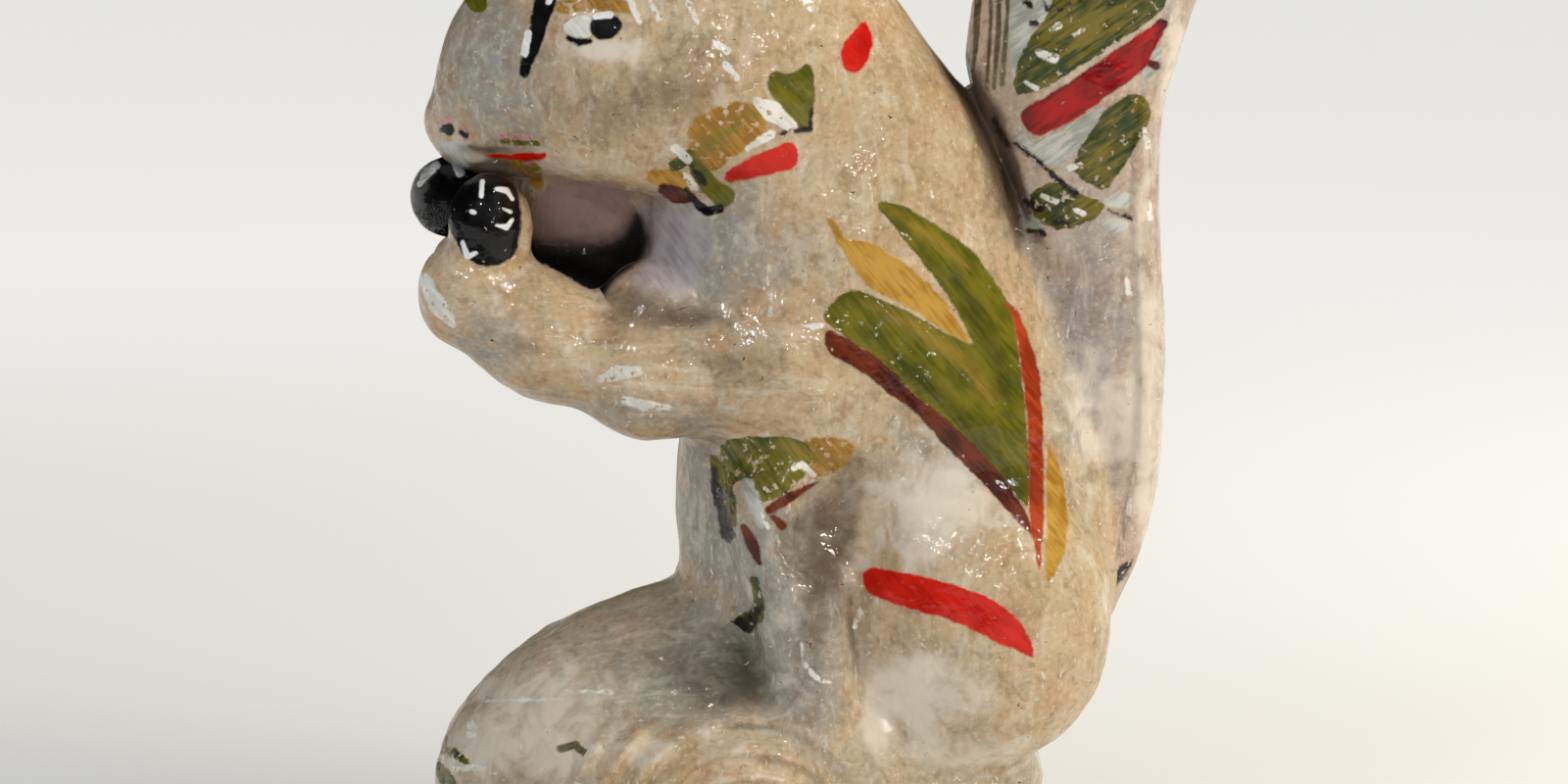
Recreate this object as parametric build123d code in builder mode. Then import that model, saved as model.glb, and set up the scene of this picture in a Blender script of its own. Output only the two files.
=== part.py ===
from build123d import *
import os

# Squirrel figurine in painted plaster: a hollow squirrel in two cast halves sits on a hollow mound,
# with an upright tail behind it and a nut held to its mouth. Millimetres, +Z up, the face towards -X.
# The origin is on the underside of the base, at its middle. "Left" is the squirrel's own left, -Y.

# Plaster and its joints
plaster_wall = 5.0
joint_film = 0.6
web_thickness = 4.0
pin_radius = 1.2

# Base: a flared plinth under a domed mound
base_half_length = 49.5
base_half_width = 35.0
plinth_height = 18.0
plinth_flare = 2.5
mound_height = 30.0
mound_fullness = 1.7
mound_levels = (0, 0.3, 0.55, 0.78, 0.93)
plug_thickness = 6.0
plug_ledge = 3.0

# Torso: upright ovals, each by its rise above the plinth, front, back and half width
rump_rise, rump_front, rump_back, rump_half_width = 2.0, -4.0, 45.0, 22.5
hip_rise, hip_front, hip_back, hip_half_width = 28.0, -9.0, 60.0, 26.0
waist_rise, waist_front, waist_back, waist_half_width = 52.0, -9.0, 57.0, 25.5
chest_rise, chest_front, chest_back, chest_half_width = 74.0, -12.5, 48.5, 22.5
neck_rise, neck_front, neck_back, neck_half_width = 94.0, -11.5, 41.7, 19.5
collar_rise, collar_front, collar_back, collar_half_width = 112.0, 0.0, 31.0, 15.5

# Head: ovals across the length, each by its place along X, underside, top and half width above the chin
chin_rise = 88.0
nape_end_x, nape_end_low, nape_end_high, nape_end_half_width = 37.0, 3.0, 15.0, 5.0
nape_x, nape_low, nape_high, nape_half_width = 27.0, 3.0, 28.5, 12.0
crown_x, crown_low, crown_high, crown_half_width = 6.0, 0.0, 48.5, 20.0
brow_x, brow_low, brow_high, brow_half_width = -16.0, 1.5, 51.0, 20.5
muzzle_x, muzzle_low, muzzle_high, muzzle_half_width = -36.0, 5.5, 40.0, 14.5
nose_x, nose_low, nose_high, nose_half_width = -45.0, 9.0, 27.0, 8.5
tip_x, tip_low, tip_high, tip_half_width = -47.3, 12.0, 19.5, 4.0
cheek_x, cheek_y, cheek_above_chin = -7.0, -10.5, 15.5
cheek_half_length, cheek_half_width, cheek_half_height = 25.0, 12.8, 16.0

# Hind legs: a round haunch, an upright shin with the knee at its top, and a foot on the mound
haunch_x, haunch_y, haunch_rise = 36.0, -14.0, 26.0
haunch_half_length, haunch_half_thickness, haunch_half_height = 21.5, 15.0, 24.0
knee_x, knee_y, knee_rise, knee_half_length, knee_half_width = 8.0, -16.0, 45.0, 10.0, 9.8
knee_cap = 7.5
ankle_x, ankle_y, ankle_rise, ankle_radius = 12.5, -24.0, 7.0, 7.0
foot_ahead, foot_out, foot_rise = 15.0, 2.5, 4.5
foot_half_length, foot_half_width, foot_half_height = 19.0, 8.4, 7.0

# Arms: round sections from the shoulder to the paw, each level by its drop below the next;
# the paws stand a gap apart
arm_half_gap = 1.2
shoulder_x, shoulder_y, shoulder_lift, shoulder_radius = 13.0, -12.0, 1.0, 11.0
elbow_x, elbow_y, elbow_drop, elbow_radius = -12.0, -12.5, 5.0, 9.3
forearm_x, forearm_y, forearm_drop, forearm_radius = -28.0, -11.0, 7.4, 8.7
wrist_ahead, wrist_drop, wrist_radius = 2.6, 9.8, 8.0
palm_radius, paw_radius = 6.2, 6.8
arm_pin_length = 29.0

# Web that closes the pocket between the chin, the arms and the chest
pocket_front, pocket_back, pocket_depth, pocket_lap = -34.0, -6.0, 24.0, 6.0

# Nut, by its place from the tip of the nose
nut_from_tip, nut_above_chin, nut_half_height, nut_radius = 2.0, 0.6, 7.2, 6.4
paw_behind_nut, paw_below_nut = 6.9, 2.8

# Ears, by their place on the crown
ear_x, ear_y, ear_sink, ear_height, ear_splay = 0.0, 10.5, 9.0, 20.5, 2.5
ear_root_half_length, ear_root_half_width = 6.5, 4.5
ear_middle_half_length, ear_middle_half_width = 5.6, 3.6
ear_tip_half_length, ear_tip_half_width = 1.6, 1.2

# Tail: upright ovals by rise, front, back and half width
root_rise, root_front, root_back, root_half_width = 12.0, 40.0, 52.0, 8.0
low_rise, low_front, low_back, low_half_width = 30.0, 47.0, 63.0, 9.0
middle_rise, middle_front, middle_back, middle_half_width = 59.0, 50.0, 67.2, 10.0
pinch_rise, pinch_front, pinch_back, pinch_half_width = 87.0, 46.0, 65.8, 11.0
flare_rise, flare_front, flare_back, flare_half_width = 108.0, 39.0, 68.0, 12.5
plume_rise, plume_front, plume_back, plume_half_width = 124.0, 36.5, 73.0, 13.5
crest_rise, crest_front, crest_back, crest_half_width = 137.0, 43.0, 78.0, 12.0
top_rise, top_front, top_back, top_half_width = 145.0, 55.0, 75.0, 6.0
tail_web_top, tail_web_height = 106.0, 44.0
tail_pin_rise, tail_pin_offset, tail_pin_length = 54.0, 4.0, 16.0


def upright_oval(level, front, back, half_width):
    """An oval section lying flat at a height, from its front to its back."""
    with BuildSketch(Plane.XY.offset(level)) as oval:
        with Locations(((front + back) / 2, 0)):
            Ellipse((back - front) / 2, half_width)
    return oval.sketch


def cross_oval(along, low, high, half_width):
    """An oval section standing across the head at a place along X."""
    with BuildSketch(Plane.YZ.offset(along)) as oval:
        with Locations((0, (low + high) / 2)):
            Ellipse(half_width, (high - low) / 2)
    return oval.sketch


def round_section(centre, direction, radius):
    """A round section of a limb, square to the limb's direction."""
    with BuildSketch(Plane(centre, x_dir=(0, 1, 0), z_dir=direction)) as section:
        Circle(radius)
    return section.sketch


def stretched_ball(middle, half_length, half_width, half_height):
    """A ball stretched to three half sizes about its middle."""
    with BuildPart(Plane(middle)) as ball:
        Sphere(half_height)
        scale(by=(half_length / half_height, half_width / half_height, 1), about=middle)
    return ball.part


ground = plinth_height
chin = ground + chin_rise
left_joint = Plane.XZ.offset(joint_film / 2)
right_joint = Plane.XZ.offset(-joint_film / 2)
torso_ovals = [
    (rump_rise, rump_front, rump_back, rump_half_width),
    (hip_rise, hip_front, hip_back, hip_half_width),
    (waist_rise, waist_front, waist_back, waist_half_width),
    (chest_rise, chest_front, chest_back, chest_half_width),
    (neck_rise, neck_front, neck_back, neck_half_width),
    (collar_rise, collar_front, collar_back, collar_half_width),
]
skull_ovals = [
    (muzzle_x, muzzle_low, muzzle_high, muzzle_half_width),
    (brow_x, brow_low, brow_high, brow_half_width),
    (crown_x, crown_low, crown_high, crown_half_width),
    (nape_x, nape_low, nape_high, nape_half_width),
]
head_ovals = [
    (tip_x, tip_low, tip_high, tip_half_width),
    (nose_x, nose_low, nose_high, nose_half_width),
    *skull_ovals,
    (nape_end_x, nape_end_low, nape_end_high, nape_end_half_width),
]
shin_ovals = [
    (ankle_rise, ankle_x, ankle_y, ankle_radius, ankle_radius),
    (knee_rise, knee_x, knee_y, knee_half_length, knee_half_width),
    (knee_rise + knee_cap, knee_x, knee_y, knee_half_length / 2, knee_half_width / 2),
]
pocket_corners = [
    (pocket_front, chin - pocket_depth / 2),
    (pocket_front, chin + pocket_lap),
    (pocket_back, chin + pocket_lap),
    (pocket_back, chin - pocket_depth),
    ((pocket_front + pocket_back) / 2, chin - pocket_depth),
]
tail_ovals = [
    (root_rise, root_front, root_back, root_half_width),
    (low_rise, low_front, low_back, low_half_width),
    (middle_rise, middle_front, middle_back, middle_half_width),
    (pinch_rise, pinch_front, pinch_back, pinch_half_width),
    (flare_rise, flare_front, flare_back, flare_half_width),
    (plume_rise, plume_front, plume_back, plume_half_width),
    (crest_rise, crest_front, crest_back, crest_half_width),
    (top_rise, top_front, top_back, top_half_width),
]

# Base mound: a flared plinth under a dome that steepens towards its foot, hollow, with a plug seat
plinth_half_length = base_half_length - plinth_flare
plinth_half_width = base_half_width - plinth_flare
plug_half_length = base_half_length - plinth_flare - plaster_wall
plug_half_width = base_half_width - plinth_flare - plaster_wall


def dome_ovals(half_length, half_width, height):
    """Sections of a dome on the plinth, from its foot to near its top."""
    ovals = []
    for share in mound_levels:
        ring = (1 - share**mound_fullness) ** (1 / mound_fullness)
        level = ground + height * share
        ovals.append(upright_oval(level, -half_length * ring, half_length * ring, half_width * ring))
    return ovals


with BuildPart() as base_mound:
    loft(
        [
            upright_oval(0, -base_half_length, base_half_length, base_half_width),
            upright_oval(ground, -plinth_half_length, plinth_half_length, plinth_half_width),
        ]
    )
    loft(dome_ovals(plinth_half_length, plinth_half_width, mound_height))
    mound_outside = base_mound.part
    hollow_half_length = plug_half_length - plug_ledge
    hollow_half_width = plug_half_width - plug_ledge
    with BuildSketch(Plane.XY):
        Ellipse(hollow_half_length, hollow_half_width)
    extrude(amount=ground, mode=Mode.SUBTRACT)
    hollow_height = mound_height - plaster_wall - plug_ledge
    loft(dome_ovals(hollow_half_length, hollow_half_width, hollow_height), mode=Mode.SUBTRACT)
    with BuildSketch(Plane.XY):
        Ellipse(plug_half_length, plug_half_width)
    extrude(amount=plug_thickness, mode=Mode.SUBTRACT)

with BuildPart() as base_plug:
    with BuildSketch(Plane.XY):
        Ellipse(plug_half_length, plug_half_width)
    extrude(amount=plug_thickness)

# Squirrel's outside: torso, head, hind legs and the web that closes the pocket under its chin
with BuildPart() as torso:
    loft([upright_oval(ground + rise, *oval) for rise, *oval in torso_ovals])

with BuildPart() as head:
    loft([cross_oval(along, chin + low, chin + high, wide) for along, low, high, wide in head_ovals])

haunch_middle = (haunch_x, haunch_y, ground + haunch_rise)
haunch = stretched_ball(haunch_middle, haunch_half_length, haunch_half_thickness, haunch_half_height)
foot_middle = (ankle_x - foot_ahead, ankle_y - foot_out, ground + foot_rise)
foot = stretched_ball(foot_middle, foot_half_length, foot_half_width, foot_half_height)
cheek_middle = (cheek_x, cheek_y, chin + cheek_above_chin)
cheek = stretched_ball(cheek_middle, cheek_half_length, cheek_half_width, cheek_half_height)

with BuildPart() as hind_leg:
    add(haunch)
    add(foot)
    shin_sections = []
    for rise, along, across, half_length, half_width in shin_ovals:
        with BuildSketch(Plane((along, across, ground + rise))) as shin_section:
            Ellipse(half_length, half_width)
        shin_sections.append(shin_section.sketch)
    loft(shin_sections)

with BuildPart() as body_outside:
    add(torso.part)
    add(head.part)
    add(hind_leg.part)
    mirror(hind_leg.part, about=Plane.XZ)
    add(cheek)
    mirror(cheek, about=Plane.XZ)
    with BuildSketch(Plane.XZ):
        Polygon(*pocket_corners, align=None)
    extrude(amount=web_thickness / 2, both=True)
    add(mound_outside, mode=Mode.SUBTRACT)

# Squirrel's hollow, one plaster wall inside the torso and the head
with BuildPart() as body_hollow:
    loft(
        [
            upright_oval(ground + rise, front + plaster_wall, back - plaster_wall, wide - plaster_wall)
            for rise, front, back, wide in torso_ovals
        ]
    )
    loft(
        [
            cross_oval(along, chin + low + plaster_wall, chin + high - plaster_wall, wide - plaster_wall)
            for along, low, high, wide in skull_ovals
        ]
    )

# Levels of the nut, the paw and the arm that hangs from it
nut_x = tip_x + nut_from_tip
nut_z = chin + nut_above_chin
paw_x = nut_x + paw_behind_nut
paw_y = -arm_half_gap - paw_radius
paw_z = nut_z - paw_below_nut
wrist_z = paw_z - wrist_drop
forearm_z = wrist_z - forearm_drop
elbow_z = forearm_z - elbow_drop
shoulder_z = elbow_z + shoulder_lift

# Wire pins: one through the chest wall into each arm, and two through the back wall into the tail
with BuildPart() as arm_pins:
    arm_pin_start = (shoulder_x, shoulder_y, shoulder_z)
    with BuildSketch(Plane(arm_pin_start, z_dir=(-1, 0, 0))):
        Circle(pin_radius)
    extrude(amount=arm_pin_length)
    mirror(about=Plane.XZ)
    add(body_hollow.part, mode=Mode.SUBTRACT)

with BuildPart() as tail_pins:
    tail_pin_start = (waist_back - 2 * plaster_wall, tail_pin_offset, ground + tail_pin_rise)
    with BuildSketch(Plane(tail_pin_start, z_dir=(1, 0, 0))):
        Circle(pin_radius)
    extrude(amount=tail_pin_length)
    mirror(about=Plane.XZ)
    add(body_hollow.part, mode=Mode.SUBTRACT)

# Body: the hollow squirrel, cast as a left and a right half with a film of plaster between them
with BuildPart() as body_shell:
    add(body_outside.part)
    add(body_hollow.part, mode=Mode.SUBTRACT)
    add(arm_pins.part, mode=Mode.SUBTRACT)
    add(tail_pins.part, mode=Mode.SUBTRACT)

with BuildPart() as left_body_half:
    add(body_shell.part)
    split(bisect_by=left_joint)

with BuildPart() as right_body_half:
    add(body_shell.part)
    split(bisect_by=right_joint, keep=Keep.BOTTOM)

with BuildPart() as body_seam:
    add(body_shell.part)
    split(bisect_by=left_joint, keep=Keep.BOTTOM)
    split(bisect_by=right_joint)

# Nut, held between the paws under the nose
nut_ball = stretched_ball((nut_x, 0, nut_z), nut_radius, nut_radius, nut_half_height)

with BuildPart() as nut:
    add(nut_ball)
    add(body_outside.part, mode=Mode.SUBTRACT)

# Arms: a bent limb from inside the chest to a rounded paw against the nut
paw = stretched_ball((paw_x, paw_y, paw_z), paw_radius, paw_radius, paw_radius)
arm_radii = [shoulder_radius, elbow_radius, forearm_radius, wrist_radius, palm_radius]

with BuildPart() as left_arm:
    with BuildLine() as arm_line:
        Spline(
            (shoulder_x, shoulder_y, shoulder_z),
            (elbow_x, elbow_y, elbow_z),
            (forearm_x, forearm_y, forearm_z),
            (paw_x - wrist_ahead, -arm_half_gap - wrist_radius, wrist_z),
            (paw_x, paw_y, paw_z),
            tangents=((-1, 0, 0), (0, 0, 1)),
        )
    arm_sections = []
    for number, radius in enumerate(arm_radii):
        share = number / (len(arm_radii) - 1)
        arm_sections.append(round_section(arm_line.line @ share, arm_line.line % share, radius))
    loft(arm_sections)
    add(paw)
    add(body_outside.part, mode=Mode.SUBTRACT)
    add(mound_outside, mode=Mode.SUBTRACT)
    add(nut.part, mode=Mode.SUBTRACT)
    add(arm_pins.part, mode=Mode.SUBTRACT)

with BuildPart() as right_arm:
    mirror(left_arm.part, about=Plane.XZ)

# Ears: leaf-shaped, rooted in the crown
ear_root = chin + crown_high - ear_sink
ear_ovals = [
    (0, ear_root_half_length, ear_root_half_width),
    (ear_height / 2, ear_middle_half_length, ear_middle_half_width),
    (ear_height, ear_tip_half_length, ear_tip_half_width),
]

with BuildPart() as left_ear:
    ear_sections = []
    for rise, half_length, half_width in ear_ovals:
        ear_middle = (ear_x, -ear_y - ear_splay * rise / ear_height, ear_root + rise)
        with BuildSketch(Plane(ear_middle)) as ear_section:
            Ellipse(half_length, half_width)
        ear_sections.append(ear_section.sketch)
    loft(ear_sections)
    add(body_outside.part, mode=Mode.SUBTRACT)

with BuildPart() as right_ear:
    mirror(left_ear.part, about=Plane.XZ)

# Tail: an upright plume with a web to the back, cast like the body in two halves with a film between them
with BuildPart() as tail_shape:
    loft([upright_oval(ground + rise, *oval) for rise, *oval in tail_ovals])
    with BuildSketch(Plane.XZ.offset(-web_thickness / 2)):
        with Locations((collar_back, ground + tail_web_top)):
            Rectangle(pinch_back - collar_back - plaster_wall, tail_web_height, align=(Align.MIN, Align.MAX))
    extrude(amount=web_thickness)
    add(body_outside.part, mode=Mode.SUBTRACT)
    add(mound_outside, mode=Mode.SUBTRACT)
    add(tail_pins.part, mode=Mode.SUBTRACT)

with BuildPart() as left_tail_half:
    add(tail_shape.part)
    split(bisect_by=left_joint)

with BuildPart() as right_tail_half:
    add(tail_shape.part)
    split(bisect_by=right_joint, keep=Keep.BOTTOM)

with BuildPart() as tail_seam:
    add(tail_shape.part)
    split(bisect_by=left_joint, keep=Keep.BOTTOM)
    split(bisect_by=right_joint)

pieces = {
    "base_mound": base_mound,
    "base_plug": base_plug,
    "left_body_half": left_body_half,
    "right_body_half": right_body_half,
    "body_seam": body_seam,
    "left_arm": left_arm,
    "right_arm": right_arm,
    "arm_pins": arm_pins,
    "nut": nut,
    "left_ear": left_ear,
    "right_ear": right_ear,
    "left_tail_half": left_tail_half,
    "right_tail_half": right_tail_half,
    "tail_seam": tail_seam,
    "tail_pins": tail_pins,
}
os.makedirs("parts", exist_ok=True)
for name, piece in pieces.items():
    piece.part.label = name
    export_step(piece.part, f"parts/{name}.step")
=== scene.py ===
import math
from collections import namedtuple

import bpy
import numpy as np
import openvdb
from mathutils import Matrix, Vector
from mathutils.geometry import delaunay_2d_cdt


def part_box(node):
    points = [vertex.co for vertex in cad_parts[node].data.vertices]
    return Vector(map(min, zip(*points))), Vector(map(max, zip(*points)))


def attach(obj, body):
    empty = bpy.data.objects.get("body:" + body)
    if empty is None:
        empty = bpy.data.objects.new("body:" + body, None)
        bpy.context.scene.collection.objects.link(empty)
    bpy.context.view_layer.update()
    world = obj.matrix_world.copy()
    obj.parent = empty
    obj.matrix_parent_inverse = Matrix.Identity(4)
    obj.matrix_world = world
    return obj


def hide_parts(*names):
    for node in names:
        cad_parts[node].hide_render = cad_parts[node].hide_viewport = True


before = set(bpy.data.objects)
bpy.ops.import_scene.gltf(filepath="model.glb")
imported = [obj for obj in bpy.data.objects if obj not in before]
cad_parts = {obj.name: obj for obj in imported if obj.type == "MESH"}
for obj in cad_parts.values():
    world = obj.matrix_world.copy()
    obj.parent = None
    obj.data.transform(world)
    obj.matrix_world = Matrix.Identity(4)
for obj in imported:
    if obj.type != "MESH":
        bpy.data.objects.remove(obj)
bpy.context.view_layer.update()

# The figurine is sculpted in millimetres, in the CAD frame, as distance fields that run into each other like
# wet plaster. "Near" is the squirrel's own left side, -Y, which faces the camera; the far side mirrors it.
MM = 0.001
# A ball with three radii, and the reach over which it runs into the form that it is added to or carved from
Ball = namedtuple("Ball", "centre radii reach", defaults=(0,))
# Cells of the sculpting grids, the cells on each side of the surface that matter, and the room that they fill
VOXEL = 0.75
NUT_VOXEL = 0.5
BAND = 3.0
SCULPT_LOW, SCULPT_HIGH = (-56, -38, -3), (82, 38, 170)
NUT_LOW, NUT_HIGH = (-54, -10, 97), (-36, 10, 116)

# Camera, in the photograph's frame of 1600 by 800 pixels
PHOTO_WIDTH, PHOTO_HEIGHT = 1600, 800
PIXELS_PER_MM = 6.5
VIEW_CENTRE = (7.7, 0.0, 76.9)
VIEW_DISTANCE = 700.0
VIEW_ELEVATION = math.radians(8)

# Base: a flared plinth and a dome
BASE_HALF_LENGTH, BASE_HALF_WIDTH = 49.5, 35.0
RIM_HALF_LENGTH, RIM_HALF_WIDTH, RIM_HEIGHT = 47.0, 32.5, 18.0
DOME_HEIGHT, DOME_POWER = 30.0, 1.7
PLUG_GAP = 0.3

# Torso by height: front, back and half width
TORSO = [
    (14, -2, 47, 22),
    (26, -6, 47.5, 21.5),
    (32, -8, 51.5, 21.5),
    (43, -8.8, 59.5, 21.5),
    (52, -8.8, 61, 21.5),
    (61, -8.8, 60.6, 22),
    (74, -8.8, 57, 23),
    (88, -11.5, 51, 22.3),
    (100, -13.5, 45.6, 20.8),
    (108, -13, 43, 19.6),
    (120, -8, 38.5, 18),
    (130, 0, 31, 16),
    (138, 6, 24, 12),
]
# Head by place along X: underside, top and half width
HEAD = [
    (-47.2, 115.5, 125, 4.5),
    (-45.5, 113.5, 131, 8),
    (-42, 112, 138, 11),
    (-36, 110.8, 145, 14.2),
    (-28, 110.6, 150.5, 17.2),
    (-16, 110.4, 155.2, 20.2),
    (-4, 107, 157, 21.2),
    (8, 106, 154.5, 20.5),
    (18, 107, 148, 18),
    (26, 111, 137, 13.5),
    (33, 116, 127.5, 8),
]
# Tail by height: front, back and half width
TAIL = [
    (30, 44, 48, 4.5),
    (36, 46, 53, 6.5),
    (42, 48, 58.5, 7.5),
    (50, 50, 63, 8.4),
    (62, 51, 66.2, 9.3),
    (77, 51, 67.2, 10),
    (92, 49, 66.9, 10.6),
    (102, 46, 66.2, 11),
    (110, 43.2, 66, 11.5),
    (118, 39.6, 66.4, 12),
    (124, 37, 67.2, 12.5),
    (130, 36.2, 68.8, 13),
    (138, 37.2, 71.5, 13.4),
    (146, 39.5, 74.6, 13.2),
    (154, 43.5, 77, 12),
    (160, 51, 77.4, 9.5),
    (164, 60, 74, 6),
]
# The tail's sides sink behind a raised rim along the rear edge, down a short slope
TAIL_RIM_WIDTH, TAIL_RIM_SLOPE, TAIL_SINK = 4.6, 0.8, 1.0
# Powers that square the rounds a little
TORSO_POWER, HEAD_POWER, TAIL_POWER = 2.2, 2.15, 2.7
# Arm and ear: places and radii of bent limbs, the arm's from inside the chest to the hand under the nut
ARM = [
    ((8, -12, 83), 12),
    ((-13, -12.5, 81.6), 8.9),
    ((-28.5, -11, 86.6), 8.4),
    ((-39.6, -10.6, 94), 9.2),
]
EAR = [
    ((1, -10, 146), 6.5),
    ((1.5, -11.8, 157), 5.4),
    ((3, -13.2, 165.2), 1.6),
]
EAR_CUP = Ball((-4, -13.5, 156), (4.6, 3.6, 7), 1)
ARM_PLANE_GAP = 1.2
PAW = Ball((-37.6, -11.4, 104), (6.4, 7.4, 8.4), 2.5)
NUT = Ball((-44.2, 0, 107.6), (6.3, 7.4, 6.3))
# Web at the parting plane that closes the pocket between chin, arms and chest; it carries the pocket's
# painted shade and shadow
POCKET_WEB = [(-38, 92), (-36, 113), (-8, 113), (-8, 80), (-18, 78)]
WEB_HALF_THICKNESS = 2.2
# Web between the back and the tail: thick below, thin between two heights and its level top edge
TAIL_WEB_TOP, TAIL_WEB_LOW, TAIL_WEB_FRONT, TAIL_WEB_BACK = 124.4, 60.0, 28.0, 54.0
TAIL_WEB_THICKER, TAIL_WEB_THICK_END, TAIL_WEB_THIN_START = 5.5, 92.0, 114.0
# Swell of the breast over the arm
BREAST = Ball((-13.5, -9, 91), (7.5, 9, 7.5), 4)

# Hind leg
HAUNCH = Ball((38, -14, 44), (20.3, 15.5, 24))
KNEE, KNEE_RADIUS = (8, -16.5, 60.5), 9.2
ANKLE, ANKLE_RADIUS = (13, -24, 30), 5.7
FOOT = Ball((-3, -26.5, 22), (19, 9.2, 7.4), 3.5)
# Hollow between knee, flank and haunch
HOLLOW = Ball((15.5, -28.5, 61), (9, 10, 9), 5)
# Curved ridges of the toes, round a place in XZ: height and spacing
TOE_PLACE, TOE_HEIGHT, TOE_SPACING = (2, 10), 0.75, 3.8

# Face
CHEEK = Ball((-7, -10.5, 123), (25, 12.8, 14.4), 6)
NOSE = Ball((-44.2, 0, 119.8), (3.4, 4.6, 3.8), 3)
EYE = Ball((-21.6, -15.6, 135.4), (6, 3.2, 4), 1.5)
MOUTH_FRONT, MOUTH_FRONT_RADIUS = (-41, -8.6, 114.8), 1.2
MOUTH_BACK, MOUTH_BACK_RADIUS = (-28, -14.6, 113), 0.72

# Reaches over which the other forms run into what they stand on
DOME_RUN, SHIN_RUN, LEG_RUN, HEAD_RUN, POCKET_WEB_RUN, TAIL_WEB_RUN = 1.5, 2, 3, 2.2, 1.5, 1.5
ARM_BEND_RUN, EAR_BEND_RUN, ARM_RUN, TAIL_RUN, EAR_RUN, BASE_RUN = 5, 3, 4, 2, 3, 4
# Reaches over which an edge is rounded
PLINTH_EDGE, BASE_LOW_EDGE, TORSO_TOP_EDGE, TORSO_LOW_EDGE = 2, 1.2, 10, 4
MUZZLE_EDGE, NAPE_EDGE, MOUTH_EDGE, TAIL_TOP_EDGE, TAIL_LOW_EDGE, TAIL_WEB_EDGE = 5, 8, 1.2, 8, 3, 0.6

# Unevenness of the hand-pressed plaster: height and length of three sets of waves, and where they set in
LUMPS = [(0.4, 33), (0.2, 14), (0.09, 6.5)]
LUMPS_START, LUMPS_FULL = 1, 6
# Slants that put the waves askew to the axes
LUMP_SLANT_X, LUMP_SLANT_Y, LUMP_SLANT_Z = 0.45, 0.2, -0.35

# Seams: how far the film of plaster stands out, its half width, how deep it reaches, and its mesh
SEAM_PROUD, SEAM_HALF_WIDTH, SEAM_DEPTH = 0.16, 0.4, 0.9
SEAM_STEP, SEAM_LEAST_STEPS = 1.5, 8

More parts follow.
